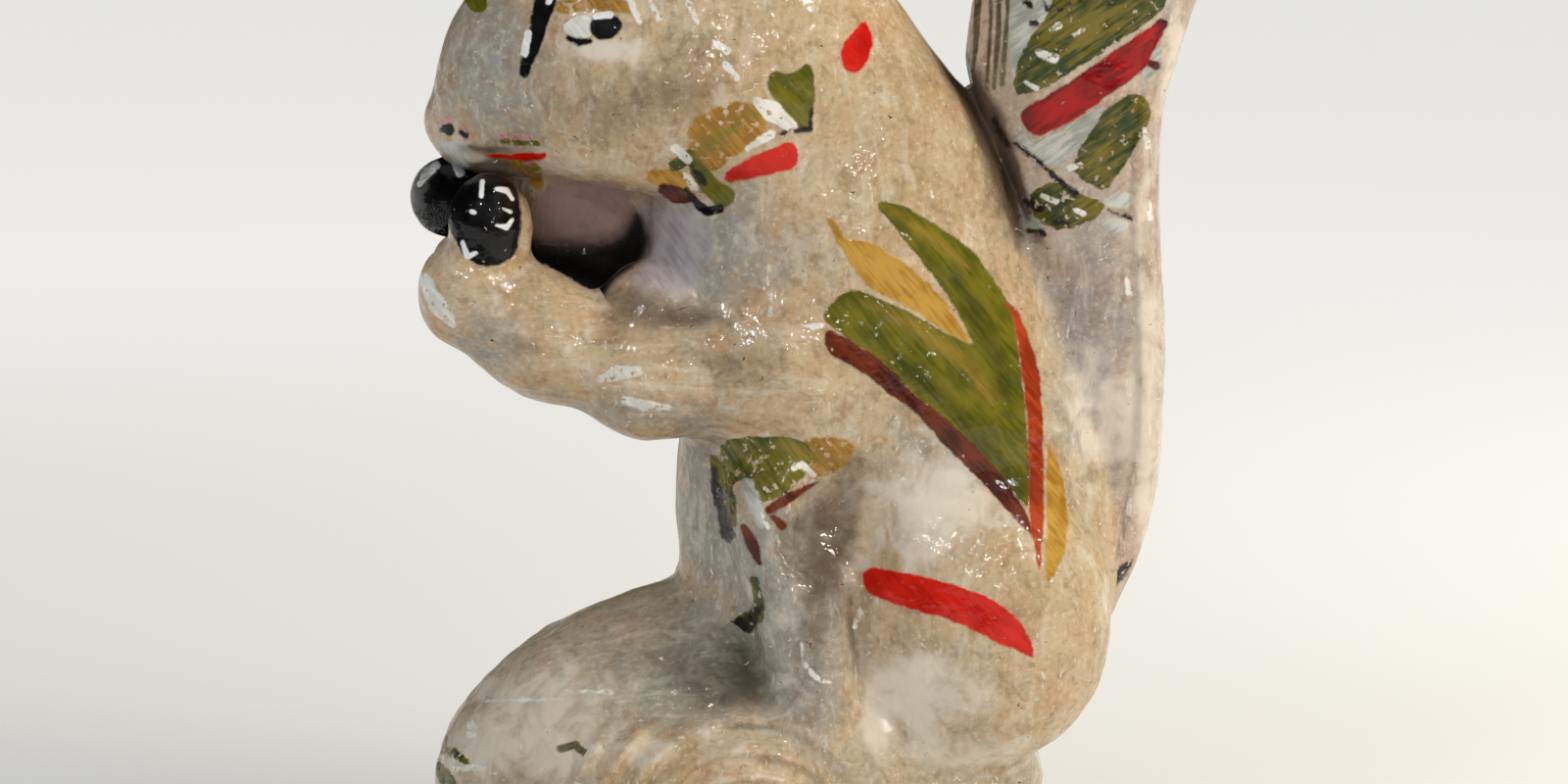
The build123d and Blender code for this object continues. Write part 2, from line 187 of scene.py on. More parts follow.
# Painted marks in photograph pixels. Points of (x, y) outline a patch; points of (x, y, radius) are a stroke.
BODY_PAINT = {
    "green": [
        [(894, 209), (902, 204), (921, 209), (941, 220), (968, 237), (990, 253), (1009, 278), (1024, 300),
         (1034, 322), (1039, 355), (1046, 409), (1050, 470), (1053, 495), (1051, 521), (1037, 507),
         (1012, 474), (976, 439), (938, 409), (916, 387), (880, 357), (846, 332), (838, 322), (846, 314),
         (858, 300), (872, 295), (889, 300), (930, 319), (968, 341), (995, 354), (987, 338), (965, 297),
         (935, 259), (905, 223)],
        [(790, 72), (810, 76), (826, 61), (832, 80), (831, 110), (826, 131), (812, 130), (800, 112),
         (785, 95), (781, 80)],
        [(704, 160, 6), (715, 178, 9), (727, 192, 10), (738, 200, 12)], [(478, -14, 14), (488, 3, 10)],
    ],
    "olive": [
        [(712, 158, 4), (730, 142, 7), (752, 128, 5)], [(800, 452, 3), (818, 462, 8), (836, 470, 4)],
        [(764, 118, 3), (776, 112, 5)], [(885, 308, 3), (935, 335, 6), (985, 368, 7), (1010, 405, 5)],
        [(912, 217, 4), (945, 238, 5), (985, 272, 3)],
    ],
    "deep_green": [
        [(880, 335, 4), (925, 372, 6), (975, 420, 8), (1020, 472, 7), (1042, 502, 4)],
        [(975, 285, 4), (1000, 325, 9), (1018, 372, 8), (1032, 420, 5)],
    ],
    "moss": [
        [(728, 468, 4), (737, 498, 12), (744, 532, 8)],
        [(769, 592, 4), (775, 612, 6), (772, 628, 8), (757, 637, 8)], [(780, 484, 5), (796, 494, 8)],
    ],
    "mint": [
        [(755, 487), (766, 487), (775, 506), (782, 532), (776, 540), (767, 526), (759, 506)],
        [(446, 147), (474, 143), (481, 160), (478, 182), (466, 188), (458, 166)],
    ],
    "worn_green": [
        [(735, 450), (760, 445), (817, 446), (830, 460), (826, 480), (806, 501), (790, 510), (776, 513),
         (766, 498), (756, 488), (745, 500), (735, 474)],
        [(512, 144, 3), (548, 146, 3)], [(690, 168, 7), (704, 160, 7)],
    ],
    "ochre": [
        [(858, 245), (875, 245), (894, 249), (913, 261), (935, 278), (952, 294), (968, 313), (982, 335),
         (992, 353), (974, 344), (952, 331), (930, 315), (910, 306), (889, 296), (875, 279), (861, 259)],
        [(847, 224, 3), (860, 248, 5)],
        [(1071, 455, 2), (1076, 490, 9), (1079, 530, 11), (1076, 565, 10), (1071, 592, 3)],
        [(668, 180, 8), (690, 184, 11), (702, 197, 8)],
    ],
    "worn_ochre": [
        [(700, 126), (745, 103), (777, 106), (786, 138), (748, 160), (730, 179), (705, 166)],
        [(815, 450), (840, 445), (874, 450), (868, 468), (850, 484), (822, 489)],
        [(527, 167, 5), (544, 175, 9), (551, 190, 5)], [(575, 7, 7), (610, 2, 9), (642, 8, 6)],
    ],
    "red": [
        [(880, 578), (918, 583), (966, 594), (1008, 609), (1035, 627), (1052, 652), (1056, 672),
         (1045, 668), (1008, 651), (972, 633), (936, 624), (900, 612), (880, 601)],
        [(882, 17), (888, 30), (891, 45), (884, 66), (871, 76), (860, 70), (857, 55), (863, 40), (875, 28)],
        [(738, 187), (742, 173), (765, 160), (790, 150), (808, 143), (815, 155), (812, 172), (795, 176),
         (770, 182)],
        [(496, 158, 2), (520, 160, 3), (540, 160, 5), (554, 159, 3)],
    ],
    "dark_red": [
        [(842, 334), (861, 343), (880, 354), (900, 368), (916, 384), (938, 406), (963, 425), (995, 455),
         (1012, 473), (1037, 506), (1051, 530), (1056, 549), (1048, 541), (1031, 525), (1012, 503),
         (990, 481), (968, 459), (949, 437), (930, 418), (910, 404), (891, 388), (872, 375), (853, 365),
         (841, 355)],
        [(677, 193, 6), (690, 199, 9), (703, 204, 4)], [(746, 181, 5), (760, 174, 5)],
        [(836, 491, 1), (808, 506, 5), (785, 520, 5)], [(789, 528, 3), (799, 537, 4)],
        [(759, 538, 3), (767, 554, 7), (775, 575, 3)],
    ],
    "brick": [
        [(1024, 305), (1034, 322), (1039, 353), (1045, 396), (1049, 437), (1050, 492), (1050, 535),
         (1056, 558), (1061, 588), (1064, 546), (1066, 505), (1065, 464), (1064, 423), (1061, 382),
         (1054, 355), (1045, 330), (1036, 314)],
    ],
    # Painted cool shade on the chest under the chin
    "lavender_chest_shade": [
        [(648, 214), (664, 205), (692, 206), (714, 216), (726, 242), (720, 274), (704, 298), (672, 298),
         (640, 286), (657, 265), (662, 243)],
    ],
    # Painted shade in the pocket: brown-grey above, a soft darker shade, and black shadow below
    "pocket_shade": [
        [(541, 229), (548, 206), (562, 187), (598, 184), (636, 184), (640, 201), (650, 215), (653, 229),
         (662, 243), (657, 263), (637, 278), (625, 284), (614, 304), (596, 300), (578, 296), (560, 284),
         (546, 264), (540, 240)],
    ],
    "pocket_soft_shade": [
        [(530, 236), (560, 245), (600, 247), (630, 240), (641, 222), (653, 212), (664, 243), (657, 265),
         (637, 280), (625, 286), (614, 312), (560, 300), (535, 270)],
    ],
    "pocket_shadow": [
        [(530, 246), (560, 255), (600, 258), (632, 250), (644, 230), (651, 216), (662, 243), (657, 263),
         (637, 278), (625, 284), (614, 308), (560, 300), (535, 270)],
    ],
    "soot": [
        [(727, 478, 3), (733, 508, 5), (743, 546, 7)], [(773, 622, 4), (764, 637, 8), (751, 640, 7)],
        [(703, 165, 2), (717, 185, 4)], [(794, 141, 3), (805, 132, 3)],
    ],
    "pink": [
        [(448, 124, 4), (462, 126, 5)], [(470, 130, 5), (482, 141, 3)], [(512, 140, 3), (540, 141, 3)],
    ],
    # White paint, with painted highlights on the arm's top edge, the knee and the forehead
    "white_and_highlight": [
        [(773, 104, 5), (788, 114, 11), (807, 129, 6)], [(763, 151, 3), (786, 138, 5)],
        [(689, 151, 5), (702, 164, 4)], [(699, 178, 3), (709, 192, 4)],
        [(810, 478, 3), (818, 474, 4), (830, 484, 3)], [(778, 527, 2), (784, 538, 2)],
        [(640, -6, 3), (652, 22, 4)], [(662, 0, 2), (672, 20, 3)], [(702, 2, 3), (712, 24, 2)],
        [(728, 44, 3), (742, 52, 4)], [(740, 66, 4), (752, 80, 3)],
        [(816, 655, 1), (822, 680, 2), (835, 694, 2), (848, 697, 1)], [(784, 272, 2), (786, 322, 2)],
        [(816, 334, 3), (840, 332, 2)], [(818, 368, 3), (836, 361, 2)], [(872, 640, 2), (878, 622, 3)],
        [(556, 272, 2), (598, 296, 2)],
    ],
    "black": [
        [(603, 21), (612, 14), (628, 15), (636, 26), (630, 37), (612, 42), (602, 34)],
        [(580, 39, 3), (592, 43, 4), (602, 42, 3)],
        [(566, -38, 6), (557, 0, 11), (546, 38, 8), (535, 73, 6)], [(452, 132, 4), (458, 132, 6)],
        [(470, 135, 3), (476, 139, 3)], [(700, 194, 3), (711, 208, 4), (722, 216, 5), (735, 213, 4)],
        [(828, 112, 2), (827, 131, 3), (812, 134, 2)],
    ],
    "ivory": [[(572, 29), (584, 17), (602, 14), (607, 30), (601, 39), (586, 40)]],
    # Painted highlights on the eye and the brow stroke
    "glint": [[(607, 17, 3), (622, 15, 4)], [(539, 34, 4), (535, 55, 4)], [(560, 2, 3), (565, -8, 3)]],
}
ARM_PAINT = {
    "black": [
        [(452, 195), (462, 172), (486, 156), (508, 162), (524, 180), (531, 205), (532, 235), (527, 259),
         (512, 271), (492, 272), (475, 263), (463, 244), (454, 220)],
    ],
    # Painted highlights on the black paw
    "glint": [
        [(506, 193, 2), (517, 194, 3), (523, 203, 2)], [(513, 213, 1), (521, 216, 2)],
        [(523, 224, 2), (517, 232, 3), (507, 230, 2)], [(492, 186, 3), (491, 200, 2)],
        [(481, 216, 2), (484, 217, 2)], [(472, 247, 2), (477, 262, 3), (486, 258, 2)],
    ],
    # Painted highlights along the arm's lower edge and the elbow
    "white_and_highlight": [
        [(614, 387, 4), (628, 381, 8), (650, 379, 5)], [(638, 408, 4), (656, 414, 6), (682, 416, 3)],
        [(432, 282, 5), (446, 312, 9), (462, 330, 5)],
    ],
}
NUT_PAINT = {
    # Painted highlights on the nut
    "glint": [
        [(428, 188, 3), (438, 174, 5), (446, 168, 4)], [(426, 206, 3), (432, 222, 3)],
        [(464, 160, 6), (470, 176, 5)],
    ],
}
TAIL_PAINT = {
    "umber": [
        [(994, -60, 3), (998, 0, 4), (995, 50, 3), (989, 88, 2)],
        [(1011, -60, 2), (1011, 20, 2), (1007, 90, 2)], [(1020, -60, 2), (1019, 30, 3), (1014, 90, 2)],
        [(1027, -60, 3), (1028, 10, 2), (1023, 85, 3)],
    ],
    "mint": [
        [(1031, -40), (1086, -40), (1080, 8), (1058, 26), (1046, 52), (1036, 92), (1029, 60)],
        [(1036, 126), (1048, 143), (1062, 144), (1100, 124), (1122, 110), (1136, 112), (1116, 130),
         (1096, 162), (1072, 172), (1042, 158)],
        [(1124, 206), (1136, 197), (1152, 196), (1158, 206), (1146, 213), (1130, 212)],
        [(1120, 226), (1134, 222), (1152, 226), (1148, 238), (1130, 239)],
        [(1048, 222), (1058, 217), (1068, 228), (1060, 236), (1050, 235)],
        [(1165, 50), (1178, 40), (1186, 48), (1184, 66), (1176, 84), (1164, 88), (1168, 70)],
    ],
    "moss": [
        [(1030, 99), (1045, 44), (1072, 15), (1090, -60), (1110, -150), (1210, -150), (1196, -10),
         (1184, 14), (1120, 56), (1060, 94)],
        [(1094, 164), (1117, 127), (1135, 105), (1154, 94), (1172, 100), (1175, 119), (1162, 146),
         (1143, 175), (1128, 197), (1111, 186), (1098, 180)],
        [(1048, 202), (1062, 190), (1078, 184), (1100, 198), (1130, 206), (1122, 222), (1085, 236),
         (1058, 226)],
    ],
    "ochre": [[(1148, 114, 3), (1158, 108, 5), (1162, 118, 3)]],
    "crimson": [
        [(1040, 112), (1074, 95), (1110, 70), (1154, 41), (1185, 19), (1190, 30), (1180, 48), (1166, 73),
         (1147, 86), (1110, 113), (1081, 131), (1059, 140), (1045, 131)],
    ],
    "dark_red": [[(1170, 40, 5), (1186, 25, 6)], [(1172, 64, 3), (1180, 67, 4)]],
    # Painted highlights on the tail, mostly along its rim
    "white_and_highlight": [
        [(1060, 54, 4), (1076, 60, 5)], [(1047, 84, 2), (1057, 90, 3)], [(1072, 30, 2), (1081, 26, 3)],
        [(1096, 36, 2), (1106, 30, 2)], [(1090, 172, 3), (1102, 168, 2)], [(1064, 200, 2), (1078, 206, 3)],
        [(1096, 214, 2), (1106, 218, 3)], [(1168, 132, 2), (1171, 150, 3)],
        [(1174, 206, 1), (1173, 222, 3)], [(1150, 284, 2), (1152, 300, 3)],
        [(1150, 388, 1), (1152, 404, 3)], [(1154, 498, 1), (1152, 524, 3)],
    ],
    "soot": [
        [(1014, 122, 3), (1020, 134, 4), (1028, 148, 3)],
        [(1035, 146, 2), (1060, 165, 2), (1078, 182, 3), (1098, 197, 2)], [(1046, 205, 3), (1062, 212, 5)],
        [(1050, 235, 3), (1064, 238, 4)], [(1076, 226, 2), (1090, 228, 3)],
        [(1130, 214, 2), (1154, 223, 2)], [(1046, 2, 3), (1051, 5, 4)], [(1065, 2, 2), (1068, 9, 3)],
        [(1083, 10, 2), (1091, 3, 3)], [(1052, 22, 2), (1056, 24, 3)],
        [(1137, 594, 4), (1144, 584, 5), (1153, 574, 3)],
    ],
}
BASE_PAINT = {
    "moss": [
        [(452, 742, 3), (452, 766, 4)], [(462, 768, 5), (476, 778, 3)], [(448, 784, 6), (458, 800, 8)],
    ],
    "umber": [[(572, 764, 4), (588, 760, 4)], [(590, 764, 4), (610, 777, 4)]],
    # Painted highlights on the mound's front edge, and pale scratches
    "white_and_highlight": [
        [(480, 738, 4), (483, 740, 4)], [(479, 749, 3), (483, 749, 4)], [(464, 784, 3), (494, 783, 3)],
        [(614, 788, 4), (617, 791, 4)], [(494, 715, 1), (540, 714, 2), (576, 714, 1)],
        [(576, 705, 1), (624, 706, 2)],
    ],
}
PLINTH_GREEN_TOP = 14.5
# Paint keeps to surfaces that face its side, and its distance grows at a rate where they turn away
FACING_LEAST, TURNED_AWAY_RATE = 0.05, 12
# Distances to paint are kept within this, in mm
FAR = 50.0

# Soft stains in photograph pixels: (x, y, reach across, reach down, strength). They are mostly painted light:
# cool is a painted cool shade, dark is painted shade and cast shadow with a little dirt, and pale is painted
# highlight and lightened shade with some milky varnish
STAINS = {
    # Painted cool shade where the plaster faces the cool side
    "cool": [
        (500, 70, 60, 100, 0.9), (722, 255, 90, 70, 1.0), (825, 640, 45, 110, 1.0), (790, 575, 45, 60, 0.9),
        (715, 520, 40, 90, 1.0), (1115, 340, 45, 160, 0.8), (700, 690, 120, 60, 0.7),
        (960, 470, 60, 60, 0.6), (960, 720, 60, 50, 0.4), (500, 350, 50, 40, 0.7), (600, 420, 110, 18, 0.6),
    ],
    # Painted shade and cast shadow, with a little dirt
    "dark": [
        (745, 705, 60, 30, 0.75), (690, 675, 80, 42, 0.75), (868, 495, 28, 52, 0.75),
        (838, 542, 46, 36, 0.85), (1010, 140, 26, 70, 0.7), (655, 300, 30, 20, 1.0),
        (700, 324, 50, 12, 0.6), (1015, 235, 22, 60, 0.6), (540, 640, 60, 30, 0.35),
        (600, 428, 120, 14, 0.4), (620, 115, 130, 55, 0.75), (750, 370, 90, 50, 0.75),
        (610, 345, 80, 36, 0.5), (700, 45, 70, 60, 0.55), (826, 630, 36, 110, 0.9), (895, 130, 60, 60, 0.4),
        (715, 560, 30, 60, 0.3),
    ],
    # Painted highlights and lightened shade, with some milky varnish
    "pale": [
        (800, 660, 20, 90, 0.5), (955, 515, 70, 60, 1.0), (935, 712, 60, 50, 1.0), (892, 730, 10, 40, 1.0),
        (1000, 770, 70, 20, 0.7), (610, 52, 45, 12, 0.9), (522, 168, 60, 22, 0.7), (600, 176, 60, 10, 0.3),
        (560, 710, 90, 40, 0.8), (700, 770, 90, 25, 0.5), (520, 770, 80, 34, 1.0), (640, 390, 60, 25, 0.5),
        (688, 236, 40, 45, 0.45), (560, 330, 60, 30, 0.3), (1200, 90, 18, 120, 0.9),
        (1170, 420, 20, 170, 1.0), (1110, 420, 30, 100, 0.7),
    ],
}
# The stains, with their painted shade and highlights, fade out between these two values of facing
STAIN_FACING = (-0.2, 0.3)
# Places with small marks, where the mesh is made finer: x, y and radius in photograph pixels
FINE_PLACES = [
    (600, 25, 75), (525, 158, 50), (462, 145, 35), (480, 215, 70), (755, 140, 100), (780, 520, 110),
    (1110, 110, 140), (640, 385, 40), (600, 245, 75), (950, 350, 90), (1030, 480, 90), (870, 320, 50),
]

Surface = namedtuple("Surface", "points triangles skin")
# A cut keeps this far from a mesh point, in mm; smaller islands than this are crumbs
LEAST_SIDE, CRUMB_TRIANGLES = 0.03, 150
# An opening that crosses itself as seen straight on is looked at from these sides
LEANS = [(0, 0, 0), (0, 0, 0.5), (0, 0, -0.5), (0.5, 0, 0), (-0.5, 0, 0)]
# Kind of triangulation that leaves holes open
INSIDE_WITH_HOLES = 2
# Points of the parting plane that lie behind one another are kept apart by a slight slant
SLANT_UP, SLANT_ALONG = 0.02, 0.05
# Where a field is flatter than this, squared, its points are moved less far
LEAST_STEEPNESS = 0.05
# Lengths in mm over which hollows are felt
HOLLOW_LENGTHS = (1.5, 4, 9)


def profile(at, rows):
    """Smooth curves through rows of (place, value, value, ...), read at each place."""
    table = np.array(rows, dtype=np.float32)
    places = table[:, 0]
    here = np.clip(at, places[0], places[-1])
    index = np.clip(np.searchsorted(places, here, side="right") - 1, 0, len(places) - 2)
    step = places[index + 1] - places[index]
    share = (here - places[index]) / step
    curves = []
    for column in range(1, table.shape[1]):
        values = table[:, column]
        slopes = np.gradient(values, places)
        start = (1 + 2 * share) * (1 - share) ** 2 * values[index]
        end = (3 - 2 * share) * share**2 * values[index + 1]
        leave = share * (1 - share) ** 2 * step * slopes[index]
        arrive = (share - 1) * share**2 * step * slopes[index + 1]
        curves.append(start + end + leave + arrive)
    return curves


def step_up(value, start, end):
    """A smooth rise from 0 at start to 1 at end."""
    share = np.clip((value - start) / (end - start), 0, 1)
    return share * share * (3 - 2 * share)


def union(first, second, reach):
    """Two forms as one, run together over a reach."""
    share = np.clip(0.5 + 0.5 * (second - first) / reach, 0, 1)
    return second + (first - second) * share - reach * share * (1 - share)


def meet(first, second, reach):
    """The space common to two forms, with its edge rounded over a reach."""
    return -union(-first, -second, reach)


def oval(u, v, half_u, half_v, power=2.0):
    """About how far a point is from an oval of two half sizes; a higher power squares the oval."""
    u = np.abs(u) / half_u
    v = np.abs(v) / half_v
    size = np.maximum((u**power + v**power) ** (1 / power), 1e-4)
    slope_u = (u / size) ** (power - 1) / half_u
    slope_v = (v / size) ** (power - 1) / half_v
    return (size - 1) / np.sqrt(slope_u**2 + slope_v**2 + 1e-9)


def ball(place, form):
    """About how far a place is from a ball with three radii."""
    shares = [(at - middle) / radius for at, middle, radius in zip(place, form.centre, form.radii)]
    size = np.sqrt(sum(share**2 for share in shares))
    slope = np.sqrt(sum((share / radius) ** 2 for share, radius in zip(shares, form.radii)))
    return size * (size - 1) / np.maximum(slope, 1e-6)


def add_ball(body, place, form):
    return union(body, ball(place, form), form.reach)


def carve_ball(body, place, form):
    return meet(body, -ball(place, form), form.reach)


def limb(place, start, end, start_radius, end_radius):
    """How far a place is from a straight round limb that tapers between two points."""
    run = np.subtract(end, start)
    offsets = [at - first for at, first in zip(place, start)]
    share = sum(offset * way for offset, way in zip(offsets, run)) / np.dot(run, run)
    share = np.clip(share, 0, 1)
    away = np.sqrt(sum((offset - share * way) ** 2 for offset, way in zip(offsets, run)))
    return away - start_radius - (end_radius - start_radius) * share


def bent_limb(place, rows, bend_run):
    """A limb through rows of (place, radius)."""
    whole = None
    for (start, start_radius), (end, end_radius) in zip(rows, rows[1:]):
        stretch = limb(place, start, end, start_radius, end_radius)
        whole = stretch if whole is None else union(whole, stretch, bend_run)
    return whole


def sides_of(corners):
    """The sides of a closed outline, as pairs of corners."""
    return zip(corners, corners[1:] + corners[:1])


def plate(u, v, corners):
    """How far a place is from a flat convex outline whose corners run clockwise."""
    away = np.full(np.broadcast(u, v).shape, -1e3, dtype=np.float32)
    for (u0, v0), (u1, v1) in sides_of(corners):
        length = math.hypot(u1 - u0, v1 - v0)
        away = np.maximum(away, ((u - u0) * (v0 - v1) + (v - v0) * (u1 - u0)) / length)
    return away


plug_length, plug_width, plug_top = np.array(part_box("base_plug")[1]) / MM


def base_field(place):
    """The plinth and its dome, with the recess for the plug underneath."""
    x, y, z = place
    ring = np.sqrt((x / RIM_HALF_LENGTH) ** 2 + (y / RIM_HALF_WIDTH) ** 2)
    rise = np.maximum(z - RIM_HEIGHT, 0) / DOME_HEIGHT
    dome = ((ring**DOME_POWER + rise**DOME_POWER) ** (1 / DOME_POWER) - 1) * DOME_HEIGHT
    flare = np.clip(1 - z / RIM_HEIGHT, 0, 1)
    half_length = RIM_HALF_LENGTH + (BASE_HALF_LENGTH - RIM_HALF_LENGTH) * flare
    half_width = RIM_HALF_WIDTH + (BASE_HALF_WIDTH - RIM_HALF_WIDTH) * flare
    plinth = meet(oval(x, y, half_length, half_width), z - RIM_HEIGHT, PLINTH_EDGE)
    solid = meet(union(plinth, dome, DOME_RUN), -z, BASE_LOW_EDGE)
    recess = oval(x, y, plug_length + PLUG_GAP, plug_width + PLUG_GAP)
    return np.maximum(solid, -np.maximum(recess, z - plug_top - PLUG_GAP))


def torso_field(place):
    x, y, z = place
    front, back, wide = profile(z, TORSO)
    side = oval(x - (front + back) / 2, y, (back - front) / 2, wide, TORSO_POWER)
    return meet(meet(side, z - TORSO[-1][0], TORSO_TOP_EDGE), TORSO[0][0] - z, TORSO_LOW_EDGE)


def head_field(place):
    x, y, z = place
    low, high, wide = profile(x, HEAD)
    around = oval(y, z - (low + high) / 2, wide, (high - low) / 2, HEAD_POWER)
    head = meet(meet(around, HEAD[0][0] - x, MUZZLE_EDGE), x - HEAD[-1][0], NAPE_EDGE)
    for form in (CHEEK, NOSE, EYE):
        head = add_ball(head, place, form)
    mouth = limb(place, MOUTH_FRONT, MOUTH_BACK, MOUTH_FRONT_RADIUS, MOUTH_BACK_RADIUS)
    return meet(head, -mouth, MOUTH_EDGE)


def leg_field(place):
    shin = limb(place, KNEE, ANKLE, KNEE_RADIUS, ANKLE_RADIUS)
    from_toes = np.hypot(place[0] - TOE_PLACE[0], place[2] - TOE_PLACE[1])
    ridges = TOE_HEIGHT * np.cos(2 * math.pi / TOE_SPACING * from_toes)
    leg = union(ball(place, HAUNCH), shin, SHIN_RUN)
    return union(leg, ball(place, FOOT) + ridges, FOOT.reach)


def arm_field(place):
    return add_ball(bent_limb(place, ARM, ARM_BEND_RUN), place, PAW)


def ear_field(place):
    return carve_ball(bent_limb(place, EAR, EAR_BEND_RUN), place, EAR_CUP)


def tail_field(place):
    x, y, z = place
    front, back, wide = profile(z, TAIL)
    sunk = TAIL_SINK * step_up(back - x, TAIL_RIM_WIDTH - TAIL_RIM_SLOPE, TAIL_RIM_WIDTH + TAIL_RIM_SLOPE)
    side = oval(x - (front + back) / 2, y, (back - front) / 2, wide - sunk, TAIL_POWER)
    plume = meet(meet(side, z - TAIL[-1][0], TAIL_TOP_EDGE), TAIL[0][0] - z, TAIL_LOW_EDGE)
    thicker = TAIL_WEB_THICKER * (1 - step_up(z, TAIL_WEB_THICK_END, TAIL_WEB_THIN_START))
    web = meet(np.abs(y) - WEB_HALF_THICKNESS - thicker, z - TAIL_WEB_TOP, TAIL_WEB_EDGE)
    web = np.maximum(web, np.maximum(TAIL_WEB_FRONT - x, x - TAIL_WEB_BACK))
    return union(plume, np.maximum(web, TAIL_WEB_LOW - z), TAIL_WEB_RUN)


def body_field(place):
    body = union(torso_field(place), leg_field(place), LEG_RUN)
    body = add_ball(carve_ball(body, place, HOLLOW), place, BREAST)
    body = union(body, head_field(place), HEAD_RUN)
    web = np.maximum(plate(place[0], place[2], POCKET_WEB), np.abs(place[1]) - WEB_HALF_THICKNESS)
    return union(body, web, POCKET_WEB_RUN)


def lumps(place):
    """Low waves, like those left by fingers and a worn mould."""
    x, y, z = place
    total = 0
    for height, length in LUMPS:
        turn = 2 * math.pi / length
        across = np.sin(turn * (x + LUMP_SLANT_X * z) + 1.0) * np.sin(turn * (z + LUMP_SLANT_Z * x) + 2.0)
        total = total + height * across * np.cos(turn * (y + LUMP_SLANT_Y * x))
    return total


def whole_field(place):
    """The plaster figure, apart from the nut."""
    figure = union(body_field(place), arm_field(place), ARM_RUN)
    figure = union(figure, tail_field(place), TAIL_RUN)
    figure = union(figure, ear_field(place), EAR_RUN)
    figure = union(figure, base_field(place), BASE_RUN)
    return figure + lumps(place) * step_up(place[2], LUMPS_START, LUMPS_FULL)


def nut_field(place):
    return ball(place, NUT) + lumps(place)


def mesh_of(field, low, high, voxel):
    """The surface of a field that is the same on both sides, as points in mm and triangles."""
    count_x, count_z = (int((high[axis] - low[axis]) / voxel) + 1 for axis in (0, 2))
    count_y = int(-low[1] / voxel) + 1
    x = (low[0] + voxel * np.arange(count_x, dtype=np.float32))[:, None, None]
    y = (-voxel * np.arange(count_y - 1, -1, -1, dtype=np.float32))[None, :, None]
    z = (low[2] + voxel * np.arange(count_z, dtype=np.float32))[None, None, :]
    near = np.broadcast_to(field((x, y, z)), (count_x, count_y, count_z))
    values = np.concatenate([near, near[:, -2::-1, :]], axis=1) / voxel
    grid = openvdb.FloatGrid(BAND)
    grid.copyFromArray(np.ascontiguousarray(np.clip(values, -BAND, BAND), dtype=np.float32))
    points, _, quads = grid.convertToPolygons(isovalue=0.0, adaptivity=0.0)
    corner = np.array([low[0], -voxel * (count_y - 1), low[2]])
    triangles = np.concatenate([quads[:, [0, 1, 2]], quads[:, [0, 2, 3]]])
    return points * voxel + corner, triangles.astype(np.int64)


def at_points(field, points):
    """A field at points on either side."""
    x, y, z = points.T
    return field((x, -np.abs(y), z))


def slopes_at(field, points, step=0.06):
    """The direction and rate at which a field grows."""
    slopes = np.empty_like(points)
    for axis in range(3):
        shift = np.zeros(3)
        shift[axis] = step
        slopes[:, axis] = (at_points(field, points + shift) - at_points(field, points - shift)) / (2 * step)
    return slopes


def settle(field, points, most):
    """Moves points onto a field's surface, by no more than a given length."""
    slopes = slopes_at(field, points)
    steepness = np.maximum((slopes**2).sum(axis=1, keepdims=True), LEAST_STEEPNESS)
    move = at_points(field, points)[:, None] * slopes / steepness
    length = np.linalg.norm(move, axis=1, keepdims=True)
    return points - move * np.minimum(1, most / np.maximum(length, 1e-9))


def unit(vectors):
    """Vectors brought to length one."""
    return vectors / np.maximum(np.linalg.norm(vectors, axis=1, keepdims=True), 1e-9)


def edges_of(triangles):
    return np.concatenate([triangles[:, [0, 1]], triangles[:, [1, 2]], triangles[:, [2, 0]]])


def refine(points, triangles, wanted):
    """Halves the edges between wanted points, so that small marks get a finer mesh."""
    edges = np.sort(edges_of(triangles), axis=1)
    edges, place = np.unique(edges, axis=0, return_inverse=True)
    halved = wanted[edges].all(axis=1)
    number = np.full(len(edges), -1)
    number[halved] = len(points) + np.arange(halved.sum())
    points = np.concatenate([points, points[edges[halved]].mean(axis=1)])
    middle = number[place].reshape(3, -1).T
    count = (middle >= 0).sum(axis=1)
    a, b, c = triangles[count == 3].T
    ab, bc, ca = middle[count == 3].T
    quarters = [(a, ab, ca), (ab, b, bc), (ca, bc, c), (ab, bc, ca)]
    turn = (np.argmax(middle[count == 1], axis=1)[:, None] + np.arange(3)) % 3
    a, b, c = np.take_along_axis(triangles[count == 1], turn, axis=1).T
    ab = middle[count == 1].max(axis=1)
    halves = [(a, ab, c), (ab, b, c)]
    parts = [triangles[count == 0]] + [np.stack(part, axis=1) for part in quarters + halves]
    return points, np.concatenate(parts)


def cut(surface, side):
    """Cuts a surface where side is zero, into the part below zero and the part above."""
    points, triangles, skin = surface
    values = side(points)
    values = np.where(np.abs(values) < LEAST_SIDE, LEAST_SIDE, values)
    below = values[triangles] < 0
    count = below.sum(axis=1)
    split = (count == 1) | (count == 2)
    one_below = count[split] == 1
    lone = np.argmax(below[split] == one_below[:, None], axis=1)
    turn = (lone[:, None] + np.arange(3)) % 3
    rows = np.take_along_axis(triangles[split], turn, axis=1)
    edges = np.sort(np.concatenate([rows[:, [0, 1]], rows[:, [0, 2]]]), axis=1)
    edges, place = np.unique(edges, axis=0, return_inverse=True)
    start, end = values[edges[:, 0]], values[edges[:, 1]]
    share = (start / (start - end))[:, None]
    crossings = points[edges[:, 0]] * (1 - share) + points[edges[:, 1]] * share
    first = len(points) + place[: len(rows)]
    second = len(points) + place[len(rows):]
    tip = np.stack([rows[:, 0], first, second], axis=1)
    rest = np.concatenate([
        np.stack([first, rows[:, 1], rows[:, 2]], axis=1),
        np.stack([first, rows[:, 2], second], axis=1),
    ])
    points = np.concatenate([points, crossings])
    sides = []
    for whole, tips in ((count == 3, one_below), (count == 0, ~one_below)):
        rests = np.tile(~tips, 2)
        part = np.concatenate([triangles[whole], tip[tips], rest[rests]])
        part_skin = np.concatenate([skin[whole], skin[split][tips], np.tile(skin[split], 2)[rests]])
        sides.append(Surface(points, part, part_skin))
    return sides


